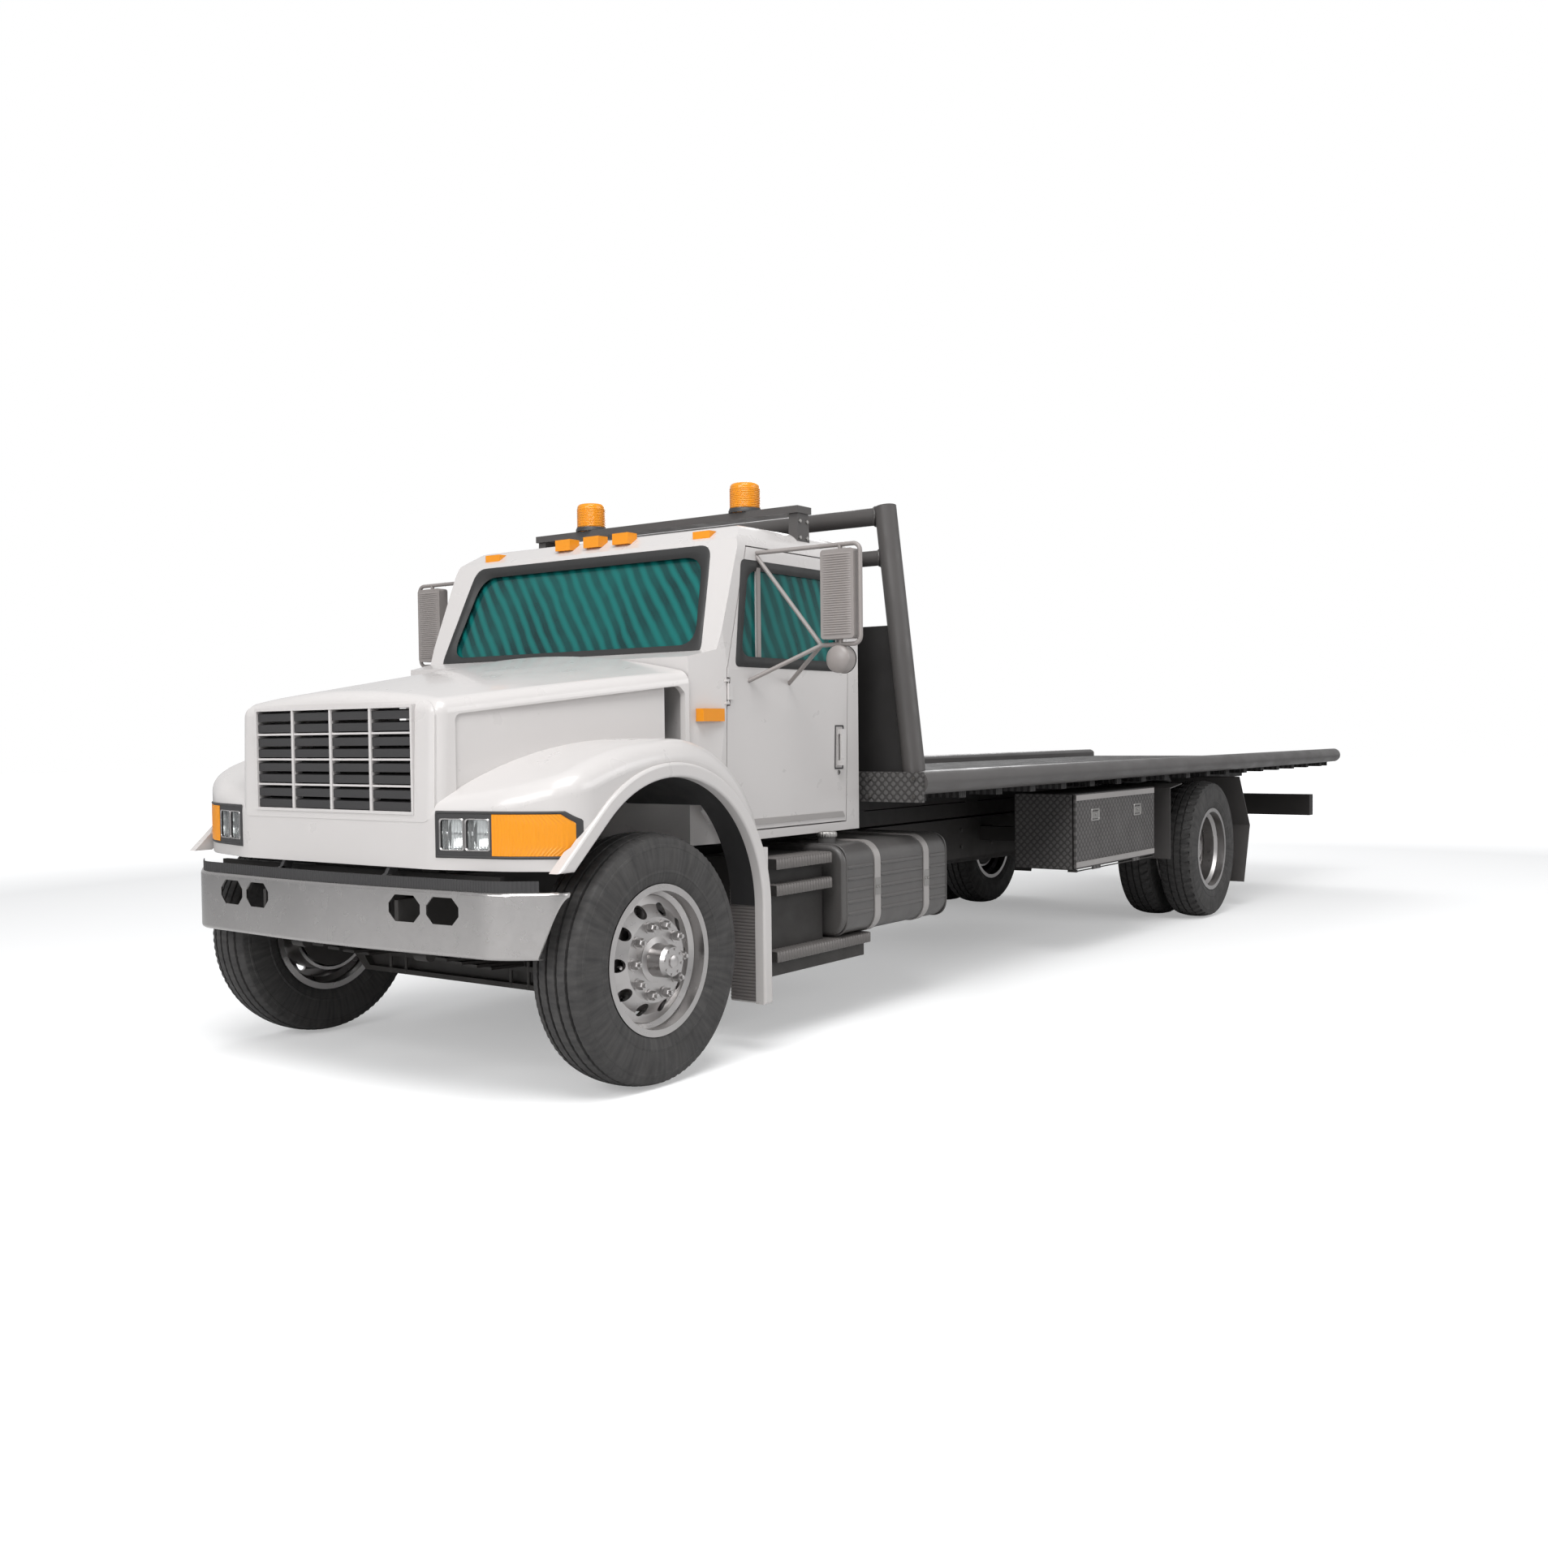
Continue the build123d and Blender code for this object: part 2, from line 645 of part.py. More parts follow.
def nose_form(inset, open_low, open_back):
    # Middle of the hood: side outline, plan outline and crown together, its outer edges rounded.
    front = hood_front_x - inset
    back = hood_back_x - open_back
    side = side_prism(
        [(front, skirt_z - open_low), (front - 22, nose_top_front + 10 - inset),
         (back, nose_top_back + 80), (back, skirt_z - open_low)],
        -1100, 1100)
    body = crown(inset, front + 50, back - 50) & side & plan_prism(nose_plan(inset, open_back), 400, 2200)
    outer = [edge for edge in body.edges()
             if edge.center().Z > skirt_z + 100 and edge.center().X > back + 20]
    return fillet(outer, nose_round - inset)


def fender_side(low):
    # Side outline of the fenders: an arc up to the crest and one down to the skirt.
    rear_x = fender_tail_x + 2
    rise = TangentArc(fender_crest, (hood_front_x, fender_front_z), tangent=(1, 0))
    fall = TangentArc(fender_crest, (rear_x, skirt_z), tangent=(-1, 0))
    foot = [(rear_x, skirt_z), (rear_x, low), (hood_front_x, low), (hood_front_x, fender_front_z)]
    foot = Polyline(*(foot if low < skirt_z else foot[1:]))
    return make_face(Wire([rise.edge(), fall.edge()] + list(foot.edges())))


def fender_plan(back):
    # Plan of both fenders and the apron between them, with rounded front corners.
    half = [(hood_front_x, 600), fender_knee, (fender_corner_x, fender_half), (fender_tail_x, fender_half),
            (fender_tail_x, fender_inner), (back, fender_inner)]
    points = half + [(x, -y) for x, y in reversed(half)]
    radii = [400, 400, 2 * fender_round, 0, 0, 0]
    return make_face(FilletPolyline(*points, radius=radii + radii[::-1], close=True))


def fender_form(inset, open_low, open_back):
    # Both fenders as one body, the edge between top and sides rounded.
    side_face = fender_side(skirt_z - open_low)
    plan_face = fender_plan(hood_back_x - open_back)
    if inset:
        side_face = offset(side_face, amount=-inset, kind=Kind.INTERSECTION)
        plan_face = offset(plan_face, amount=-inset, kind=Kind.INTERSECTION)
    plane = Plane(origin=(0, 1300, 0), x_dir=(1, 0, 0), z_dir=(0, -1, 0))
    body = extrude(plane * side_face, amount=2600)
    body &= extrude(Pos(0, 0, 400) * plan_face, amount=1800, dir=(0, 0, 1))
    rounding = fender_round - inset
    if rounding < 10:
        return body
    shoulder = [edge for edge in body.edges()
                if edge.center().Z > skirt_z + 40 and abs(edge.tangent_at(0.5).Z) < 0.98
                and (abs(edge.center().Y) > fender_half - inset - 20 or edge.center().X > fx(400))]
    return fillet(shoulder, rounding)


def arch_outline(grow, low):
    # Wheel opening: straight up behind the wheel, round over it and down at a slope in front.
    radius = arch_radius + grow
    turn = math.radians(arch_front_turn)
    rear = (arch_x - radius, arch_z)
    top = (arch_x, arch_z + radius)
    front = (arch_x + radius * math.cos(turn), arch_z + radius * math.sin(turn))
    foot_z = skirt_z - 60
    foot_x = front[0] + (front[1] - foot_z) * math.tan(turn)
    arc = ThreePointArc(rear, top, front)
    rest = Polyline(front, (foot_x, foot_z), (foot_x, low), (arch_x - radius, low), rear)
    return make_face(Wire([arc.edge()] + list(rest.edges())))


def arch_prism(grow, low, low_y, high_y):
    plane = Plane(origin=(0, high_y, 0), x_dir=(1, 0, 0), z_dir=(0, -1, 0))
    return extrude(plane * arch_outline(grow, low), amount=high_y - low_y)


def fender_lip():
    # Raised round edge of the wheel opening, from the skirt in front down to the end of the tail.
    band = arch_prism(arch_lip, 100, fender_half - lip_depth, fender_half + lip_raise)
    band -= arch_prism(0, 50, fender_half - lip_depth - 5, fender_half + lip_raise + 5)
    band -= block(arch_x, fx(900), 900, 1300, 0, skirt_z)
    band -= block(fx(-900), arch_x, 900, 1300, 0, fender_tail_z)
    face_edges = band.edges().group_by(Axis.Y)[-1]
    return fillet(face_edges, lip_raise - 4)


def fender_tail():
    tail = block(fender_tail_x, fender_tail_x + fender_tail_depth, fender_inner, fender_half,
                 fender_tail_z, skirt_z + 7)
    upright = tail.edges().filter_by(Axis.Z)
    return fillet(upright, 12)


def hood_arm():
    # Arm from the hood's front wall down to its hinge pin.
    inner_x = hood_front_x - hood_wall
    arm = side_prism(
        [(inner_x - 18, hood_hinge_z - 4), (hood_hinge_x + 4, hood_hinge_z + 12), (inner_x, skirt_z + 4),
         (inner_x, skirt_z + 95), (inner_x - 36, skirt_z + 95), (inner_x - 36, skirt_z + 4)],
        hood_arm_y, hood_arm_y + 16)
    eye = cross_bar(hood_hinge_x, hood_hinge_z, hood_arm_y, hood_arm_y + 16, 16)
    bore = cross_bar(hood_hinge_x, hood_hinge_z, hood_arm_y - 1, hood_arm_y + 17,
                     hood_pin_radius + seat_gap)
    return arm + eye - bore


def lamp_cutter(low_y, high_y, grow):
    # Straight cutter for one lamp, seen from the front.
    clip = 34.0 if high_y > headlamp_outer else 0.0
    points = [(low_y - grow, lamp_low - grow), (high_y + grow, lamp_low - grow)]
    if clip:
        points[1] = (high_y + grow - clip, lamp_low - grow)
        points.append((high_y + grow, lamp_low - grow + clip))
        points.append((high_y + grow, lamp_high + grow - clip))
        points.append((high_y + grow - clip, lamp_high + grow))
    else:
        points.append((high_y + grow, lamp_high + grow))
    points.append((low_y - grow, lamp_high + grow))
    return front_prism(points, fx(440), hood_front_x + 60)


def lamp_skin(low, high):
    # Layer that follows the fender's face, between two depths.
    return fender_form(low, 0, 0) - fender_form(high, high + 2, high + 2)


def lamp_housings():
    # Dark bucket of each pair of headlamps, with a square cell for each lamp.
    body = lamp_skin(-3, 60) & lamp_cutter(lamp_inner, headlamp_outer - seat_gap, 0)
    for low_y, high_y in headlamp_cells():
        body -= front_prism(
            [(low_y, lamp_low + 22), (high_y, lamp_low + 22), (high_y, lamp_high - 22),
             (low_y, lamp_high - 22)], fx(440), hood_front_x + 60)
    return both_sides(body)


def headlamp_cells():
    width = (headlamp_outer - lamp_inner - 3 * 14) / 2
    first = lamp_inner + 14
    second = first + width + 14
    return ((first, first + width), (second, second + width))


def headlamps():
    lens = None
    for low_y, high_y in headlamp_cells():
        cell = lamp_skin(4, 44) & front_prism(
            [(low_y + seat_gap, lamp_low + 22 + seat_gap), (high_y - seat_gap, lamp_low + 22 + seat_gap),
             (high_y - seat_gap, lamp_high - 22 - seat_gap), (low_y + seat_gap, lamp_high - 22 - seat_gap)],
            fx(440), hood_front_x + 60)
        lens = cell if lens is None else lens + cell
    return both_sides(lens)


def turn_lamps():
    return both_sides(lamp_skin(-5, 34) & lamp_cutter(headlamp_outer, lamp_outer, 0))


def hood_panel(fenders):
    # Shallow field on each side of the nose, above the fender.
    field = side_prism(
        [(fx(596), 1180), (fx(596), 1500), (fx(-440), 1622), (fx(-470), 1590), (fx(-470), 1180)],
        500, 1100, radius=28)
    core = plan_prism(nose_plan(panel_sink, 100), 400, 2200)
    return both_sides(field) - core - fenders


def grille_surround():
    # Raised field round the grille that wraps the corners of the nose.
    outline = [(-surround_half, surround_low), (surround_half, surround_low),
               (surround_half, surround_high), (-surround_half, surround_high)]
    field = front_prism(outline, hood_front_x - 44, hood_front_x + 60, radius=58)
    return nose_form(-surround_raise, 0, 0) & field


def hood():
    # Thin moulding open below, behind and over the wheels.
    open_low = hood_wall + 2
    fenders = fender_form(0, 0, 0)
    outer = nose_form(0, 0, 0) + fenders + grille_surround()
    inner = nose_form(hood_wall, 60, 60) + fender_form(hood_wall, open_low, open_low)
    arch = arch_prism(0, 50, fender_inner - 40, fender_half + 50)
    under = block(fender_tail_x + hood_wall, fx(500), -fender_half + 30, fender_half - 30, 100, 1020)
    shell = outer - inner - both_sides(arch) - under - hood_panel(fenders)
    shell += both_sides(fender_lip() + fender_tail())
    opening = block(fx(400), fx(800), -grille_half - seat_gap, grille_half + seat_gap,
                    grille_low - seat_gap, grille_high + seat_gap)
    lamps = lamp_cutter(lamp_inner, headlamp_outer, seat_gap)
    lamps += lamp_cutter(headlamp_outer, lamp_outer, seat_gap)
    return shell - opening - both_sides(lamps) + both_sides(hood_arm())


def wheel_liners():
    # Arched splash shield over each front wheel, seated behind the lip of the wheel opening.
    outer = arch_prism(10 + liner_wall, 500, liner_inner_y, fender_half - lip_depth - seat_gap)
    liner = outer - arch_prism(10, 490, liner_inner_y - 5, fender_half)
    liner &= block(fx(-900), fx(425), 0, 1300, arch_z + 1, 1400)
    beside_cab = block(fx(-900), hood_back_x + 12, 0, fender_inner + hood_wall + seat_gap, arch_z, 1400)
    return both_sides(liner - beside_cab)


def grille():
    # Frame, three upright bars and two slats in each row of every column.
    front = hood_front_x + 4
    back = hood_front_x - 60
    frame = block(back, front, -grille_half, grille_half, grille_low, grille_high)
    frame -= block(back - 1, front + 1, -grille_half + 12, grille_half - 12,
                   grille_low + 12, grille_high - 12)
    bar_step = 2 * (grille_half - 6) / grille_columns
    row_step = (grille_high - grille_low - 12) / grille_rows
    for column in range(1, grille_columns):
        y = -grille_half + 6 + bar_step * column
        frame += block(back + 20, front - 2, y - 7, y + 7, grille_low + 2, grille_high - 2)
    for row in range(1, grille_rows):
        z = grille_low + 6 + row_step * row
        frame += block(back + 30, front - 6, -grille_half + 2, grille_half - 2, z - 4, z + 4)
    return frame


def grille_slats():
    # Dark slats, two between each pair of light rows.
    front = hood_front_x + 4
    row_step = (grille_high - grille_low - 12) / grille_rows
    bar_step = 2 * (grille_half - 6) / grille_columns
    slats = []
    for row in range(grille_rows):
        for part_of_row in (0.28, 0.72):
            z = grille_low + 6 + row_step * (row + part_of_row)
            for column in range(grille_columns):
                low_y = -grille_half + 6 + bar_step * column + 7 + seat_gap
                high_y = low_y + bar_step - 14 - 2 * seat_gap
                slat = side_prism([(front - 8, z - 20), (front - 8, z + 12), (front - 58, z + 20),
                                   (front - 58, z - 12)], low_y, high_y)
                slats.append(slat)
    return slats


# Cab
def cab_form(inset):
    # Cab body from its side outline, its front outline and its plan, with rounded roof edges.
    back = cab_back_x + inset
    floor = cab_floor_z + inset
    roof = cab_roof_z - inset
    brow = cab_brow_round - inset
    rear = cab_back_round - inset
    side = side_prism(
        [(cab_front_x - inset, floor), (cab_front_x - inset, 1752 - inset),
         (screen_bottom[0] + 8 - inset, screen_bottom[1] + 6 - inset),
         (screen_top[0] - inset, screen_top[1] + 40),
         (fx(-960) - inset, roof - 26), (fx(-1330), roof), (back + 40, roof - 14), (back, roof - 70),
         (back, floor)],
        -1100, 1100, radius=[0, 0, 0, 0, brow, 0, rear, rear, 0])
    half = cab_half - inset
    edge = cab_roof_round - inset
    front = front_prism(
        [(half - 18, floor), (half, 1700), (half - 26, roof - 110), (half - 120, roof - 18),
         (0, roof), (-half + 120, roof - 18), (-half + 26, roof - 110), (-half, 1700), (-half + 18, floor)],
        cab_back_x - 50, cab_front_x + 50, radius=[0, 0, edge, edge, 0, edge, edge, 0, 0])
    plan = plan_prism(
        [(cab_front_x, nose_half_back - 12 - inset), (screen_bottom[0] - 60, half),
         (back + 60, half), (back, half - 40), (back, -half + 40), (back + 60, -half),
         (screen_bottom[0] - 60, -half), (cab_front_x, -nose_half_back + 12 + inset)], 800, 2600)
    return side & front & plan


def door_outline(grow):
    return [(door_front_x + grow, door_bottom_z - grow), (door_front_x + grow, 1700),
            (fx(-905) + grow, door_top_z + grow), (door_back_x - grow, door_top_z + grow),
            (door_back_x - grow, door_bottom_z - grow)]


def door_window_outline(grow):
    return [(window_front_x + grow, window_sill_z - grow), (fx(-880) + grow, window_top_z + grow),
            (window_back_x - grow, window_top_z + grow), (window_back_x - grow, window_sill_z - grow)]


def cab_walls():
    return cab_form(0) - cab_form(cab_wall)


def screen_plane(depth):
    # Plane of the windscreen, moved in by a depth.
    rise = Vector(screen_top[0] - screen_bottom[0], 0, screen_top[1] - screen_bottom[1])
    normal = Vector(rise.Z, 0, -rise.X).normalized()
    middle = Vector((screen_top[0] + screen_bottom[0]) / 2, 0, (screen_top[1] + screen_bottom[1]) / 2)
    origin = middle - normal * depth
    return Plane(origin=origin, x_dir=(0, 1, 0), z_dir=normal), rise.length / 2


def screen_face(shrink):
    half = screen_plane(0)[1] - shrink
    low = screen_bottom_half - shrink
    high = screen_top_half - shrink
    return face_of([(-low, -half), (low, -half), (high, half), (-high, half)])


def rear_window_outline(shrink):
    return [(-560 + shrink, 1750 + shrink), (560 - shrink, 1750 + shrink),
            (560 - shrink, 2170 - shrink), (-560 + shrink, 2170 - shrink)]


def cab_shell():
    shell = cab_walls()
    doors = side_prism(door_outline(panel_gap), cab_half - 80, cab_half + 40)
    shell -= both_sides(doors)
    plane, half = screen_plane(80)
    shell -= extrude(plane * screen_face(0), amount=160)
    shell -= front_prism(rear_window_outline(0), cab_back_x - 60, cab_back_x + 100)
    leaf = None
    for z in door_hinge_places:
        pin = Pos(door_hinge_x, door_hinge_y, z) * Cylinder(3, 100)
        leaf = pin if leaf is None else leaf + pin
        for end in (z - 56, z + 44):
            leaf += block(door_hinge_x - 4, door_hinge_x + 20, door_hinge_y - 24, door_hinge_y + 4,
                          end, end + 12)
    return shell + both_sides(leaf)


def cab_glass():
    # Windscreen and rear window, let into the middle of the walls.
    plane, half = screen_plane(cab_wall / 2)
    screen = extrude(plane * screen_face(seat_gap), amount=glass_thick)
    rear = front_prism(rear_window_outline(seat_gap), cab_back_x + cab_wall / 2,
                       cab_back_x + cab_wall / 2 + glass_thick)
    return screen + rear


def door(side):
    panel = cab_walls() & side_prism(door_outline(0), cab_half - 80, cab_half + 40)
    panel -= side_prism(door_window_outline(0), cab_half - 100, cab_half + 60)
    bar = side_prism([(fx(-968), window_sill_z - 10), (fx(-968), window_top_z + 10),
                      (fx(-986), window_top_z + 10), (fx(-986), window_sill_z - 10)],
                     cab_half - 46, cab_half - 16)
    handle = block(fx(-1650), fx(-1612), cab_half - 16, cab_half + 22, 1250, 1430)
    handle -= block(fx(-1655), fx(-1607), cab_half, cab_half + 12, 1275, 1405)
    whole = panel + bar + handle
    for z in door_hinge_places:
        room = block(door_hinge_x - 20, door_hinge_x + 30, door_hinge_y - 30, door_hinge_y + 30, z - 64, z - 37)
        whole -= room + Pos(0, 0, 101) * room
        whole += Pos(door_hinge_x, door_hinge_y, z) * Cylinder(5.5, 72)
        whole += block(door_hinge_x - 30, door_hinge_x, door_hinge_y - 20, door_hinge_y + 4, z - 36, z + 36)
        whole -= Pos(door_hinge_x, door_hinge_y, z) * Cylinder(3 + seat_gap, 130)
    return whole if side > 0 else mirrored(whole)


def door_glass(side):
    low_y = cab_half - 34
    pane = side_prism(door_window_outline(-seat_gap), low_y, low_y + glass_thick)
    bar = side_prism([(fx(-968) + seat_gap, window_sill_z - 10), (fx(-968) + seat_gap, window_top_z + 10),
                      (fx(-986) - seat_gap, window_top_z + 10), (fx(-986) - seat_gap, window_sill_z - 10)],
                     cab_half - 46, cab_half - 16)
    pane -= bar
    return pane if side > 0 else mirrored(pane)


def mirror_set(side):
    # Tall mirror head inside a bent pipe loop, with a round convex mirror below it.
    head = block(mirror_x - 30, mirror_x + 30, mirror_y - mirror_half, mirror_y + mirror_half,
                 mirror_low, mirror_high)
    head = fillet(head.edges().filter_by(Axis.X), 16)
    skin = cab_half - 5
    loop_top = mirror_high + 22
    loop_low = mirror_low - 24
    path = FilletPolyline((mirror_x, mirror_loop_inner, loop_top), (mirror_x, mirror_loop_outer, loop_top),
                          (mirror_x, mirror_loop_outer, loop_low), (mirror_x, mirror_loop_inner, loop_low),
                          radius=36)
    pipes = sweep(Plane(origin=path @ 0, z_dir=path % 0) * Circle(mirror_pipe_radius), path=path)
    upper_knee = (mirror_x, mirror_loop_inner + 4, loop_top)
    lower_knee = (mirror_x, mirror_loop_inner + 4, loop_low)
    # columns: start and end of each pipe
    runs = (
        ((mirror_x, mirror_y, mirror_low - 145), (mirror_x, mirror_y, loop_top)),
        (upper_knee, (fx(-980), skin - 20, 2240)),
        (lower_knee, (fx(-880), skin, 1650)),
        (lower_knee, (fx(-1200), skin, 1645)),
        (lower_knee, (fx(-980), skin - 20, 2225)),
    )
    for start, end in runs:
        pipes += tube_between(start, end, mirror_pipe_radius)
    for knee in (upper_knee, lower_knee):
        pipes += Pos(*knee) * Sphere(mirror_pipe_radius + 1)
    round_z = mirror_low - 90
    round_head = tube_between((mirror_x - 24, mirror_y, round_z), (mirror_x + 24, mirror_y, round_z), 62)
    whole = head + pipes + round_head
    whole -= cab_form(-seat_gap)
    return whole if side > 0 else mirrored(whole)


def dashboard():
    shelf = side_prism(
        [(cab_front_x - cab_wall, 1440), (cab_front_x - cab_wall, 1740), (fx(-690), 1740),
         (fx(-860), 1660), (fx(-880), 1560), (fx(-800), 1440)],
        -cab_half + cab_wall + 30, cab_half - cab_wall - 30)
    shelf &= cab_form(cab_wall + seat_gap)
    plane = Plane(origin=(fx(-1010), driver_y, 1640), z_dir=(-0.868, 0, 0.496))
    column = tube_between((fx(-800), driver_y, 1520), (fx(-1010), driver_y, 1640), 32)
    wheel = plane * Torus(215, 14) + plane * Box(24, 424, 14)
    return shelf + column + wheel


def seats():
    pads = []
    # columns: lower and upper y of each seat
    for low_y, high_y in ((130.0, 700.0), (-780.0, 40.0)):
        pads.append(block(fx(-1640), fx(-1150), low_y, high_y, 1320, 1450))
        back = side_prism([(fx(-1640), 1450 + seat_gap), (fx(-1540), 1450 + seat_gap), (fx(-1660), 2060),
                           (fx(-1760), 2060)],
                          low_y, high_y)
        pads.append(back)
    return pads


def seat_bases():
    floor = cab_floor_z + cab_wall
    base = block(fx(-1620), fx(-1160), 150, 680, floor, 1320 - seat_gap)
    bench = block(fx(-1620), fx(-1160), -760, 20, floor, 1320 - seat_gap)
    return base + bench


def roof_lamps():
    # Amber marker lamps over the windscreen and one on each side of the cowl.
    lamps = []
    # columns: place behind the front axle, y, z
    for offset, y, z in ((-905, 690, 2316), (-905, -690, 2316), (-905, 190, 2352), (-905, 0, 2352),
                         (-905, -190, 2352)):
        lamps.append(block(fx(offset) - 34, fx(offset) + 34, y - 50, y + 50, z - 20, z + 34))
    return [lamp - cab_form(-seat_gap) for lamp in lamps]


def cowl_lamps():
    lamp = block(fx(-690), fx(-540), cab_half - 60, cab_half + 5, 1468, 1524)
    lamp -= cab_form(-seat_gap)
    return [lamp, mirrored(lamp)]


def beacon_bar():
    # Flat bar over the roof on two end brackets.
    bar = block(fx(-1500), fx(-1380), -880, 880, 2478, 2512)
    foot = side_prism([(fx(-1485), 2478), (fx(-1395), 2478), (fx(-1385), 2310), (fx(-1495), 2310)],
                      820, 872)
    return bar + both_sides(foot - cab_form(-seat_gap))


def beacons():
    lens = Pos(fx(-1440), 520, 2512 + seat_gap + 74) * Cylinder(74, 148)
    lens = fillet(lens.edges().group_by(Axis.Z)[-1], 20)
    return both_sides(lens)


# Side equipment
def cab_steps():
    low = None
    # columns: height of the tread's top, front and back behind the axle
    for top, front, back in ((842, -892, -1352), (722, -892, -1352), (420, -892, -1690)):
        tread = block(fx(back), fx(front), 620, step_half, top - 46, top)
        low = tread if low is None else low + tread
    case = block(fx(-1352), fx(-892), 600, step_half - 60, 330, 800)
    apron = block(fx(-1690), fx(-892), 600, step_half - 40, 305, 380)
    stay = block(fx(-1250), fx(-900), rail_half + seat_gap, 640, 660, 760)
    return both_sides(low + case + apron + stay)


def tank_section(grow, low_x, high_x):
    # Length of a tank's rounded section, grown all round by an amount.
    low_y = tank_inner - grow
    high_y = tank_half + grow
    outline = [(low_y, tank_low - grow), (high_y, tank_low - grow), (high_y, tank_high + grow),
               (low_y, tank_high + grow)]
    return front_prism(outline, low_x, high_x, radius=tank_round + grow)


def fuel_tank():
    # Round-cornered tank with soft end edges and a filler neck on top.
    tank = tank_section(0, fx(-2412), fx(-1392))
    ends = tank.edges().group_by(Axis.X)
    tank = fillet(ends[0] + ends[-1], tank_end_round)
    neck = Pos(fx(-1500), tank_half - 170, tank_high) * Cylinder(44, 60)
    return both_sides(tank + neck)


def tank_straps():
    # Two straps round each tank, carried by an arm from the rail.
    strap = None
    for place in (-1690.0, -2170.0):
        x = fx(place)
        band = tank_section(strap_thick, x - strap_width / 2, x + strap_width / 2)
        band -= tank_section(seat_gap, x - strap_width, x + strap_width)
        arm = block(x - 40, x + 40, rail_half + seat_gap, tank_inner - strap_thick + 2, 620, 820)
        arm -= tank_section(seat_gap, x - strap_width, x + strap_width)
        strap = band + arm if strap is None else strap + band + arm
    return both_sides(strap)


def exhaust():
    muffler = tube_between((fx(-2500), -250, 470), (fx(-3500), -250, 470), 120)
    pipe = tube_between((fx(-900), -250, 560), (fx(-2500), -250, 470), 50)
    tail = tube_between((fx(-3500), -250, 470), (fx(-5500), -300, 620), 50)
    whole = muffler + pipe + tail
    for offset in (-2300.0, -3700.0):
        whole += block(fx(offset) - 20, fx(offset) + 20, -262, -238, 500, tie_low - seat_gap)
    return whole


def toolbox(side):
    # Open-fronted box; its door is a piece of its own.
    outer = block(toolbox_back_x, toolbox_front_x, toolbox_inner, toolbox_half - 20,
                  toolbox_low, toolbox_high)
    inner = block(toolbox_back_x + toolbox_wall, toolbox_front_x - toolbox_wall,
                  toolbox_inner + toolbox_wall, toolbox_half, toolbox_low + toolbox_wall,
                  toolbox_high - toolbox_wall)
    box = outer - inner
    for share in (0.2, 0.8):
        x = toolbox_back_x + (toolbox_front_x - toolbox_back_x) * share
        box += block(x - 40, x + 40, rail_half + seat_gap, toolbox_inner, 700, 790)
    hinge_y, hinge_low = toolbox_hinge()
    for x in (toolbox_back_x + 20, toolbox_front_x - 20):
        box += block(x - 6, x + 6, toolbox_half - 60, hinge_y + 6, hinge_low - 6, toolbox_low + 2)
    pin = tube_between((toolbox_back_x + 20, hinge_y, hinge_low), (toolbox_front_x - 20, hinge_y, hinge_low), 4)
    box += pin
    return box if side > 0 else mirrored(box)


def toolbox_hinge():
    return toolbox_half - 5, toolbox_low - 8


def toolbox_door(side):
    gap = panel_gap
    lid = block(toolbox_back_x + 2, toolbox_front_x - 2, toolbox_half - 20 + gap, toolbox_half,
                toolbox_low + 8, toolbox_high - 2)
    hinge_y, hinge_low = toolbox_hinge()
    for share in (0.25, 0.75):
        x = toolbox_back_x + (toolbox_front_x - toolbox_back_x) * share
        lid += tube_between((x - 60, hinge_y, hinge_low), (x + 60, hinge_y, hinge_low), 7)
        lid += block(x - 60, x + 60, hinge_y - 4, hinge_y + 4, hinge_low, toolbox_low + 10)
    lid -= tube_between((toolbox_back_x, hinge_y, hinge_low), (toolbox_front_x, hinge_y, hinge_low),
                        4 + seat_gap)
    return lid if side > 0 else mirrored(lid)


def rear_mudguards():
    # Bent strip before and behind each pair of rear tyres.
    front = side_prism([(fx(-5694), 1025), (fx(-5462), 1000), (fx(-5462), 500), (fx(-5468), 500),
                        (fx(-5468), 994), (fx(-5694), 1019)], 640, 1200)
    back = side_prism([(fx(-6950), 1028), (fx(-7205), 640), (fx(-7060), 200), (fx(-7066), 198),
                       (fx(-7212), 640), (fx(-6956), 1034)], 640, 1200)
    arm_front = cross_bar(fx(-5476), 760, rail_half + seat_gap, 900, 14)
    arm_back = cross_bar(fx(-7206), 660, rail_half + seat_gap, 900, 14)
    return both_sides(front + back + arm_front + arm_back)


def rear_beam():
    beam = block(fx(-9330), fx(-9220), -1100, 1100, 610, 800)
    arm = block(fx(-9220), rail_rear_x, rail_half - 60, rail_half, 640, 780)
    return beam + both_sides(arm)


def tail_lamps():
    lamp = block(fx(-9350), fx(-9330), 760, 1060, 650, 760)
    return both_sides(lamp)


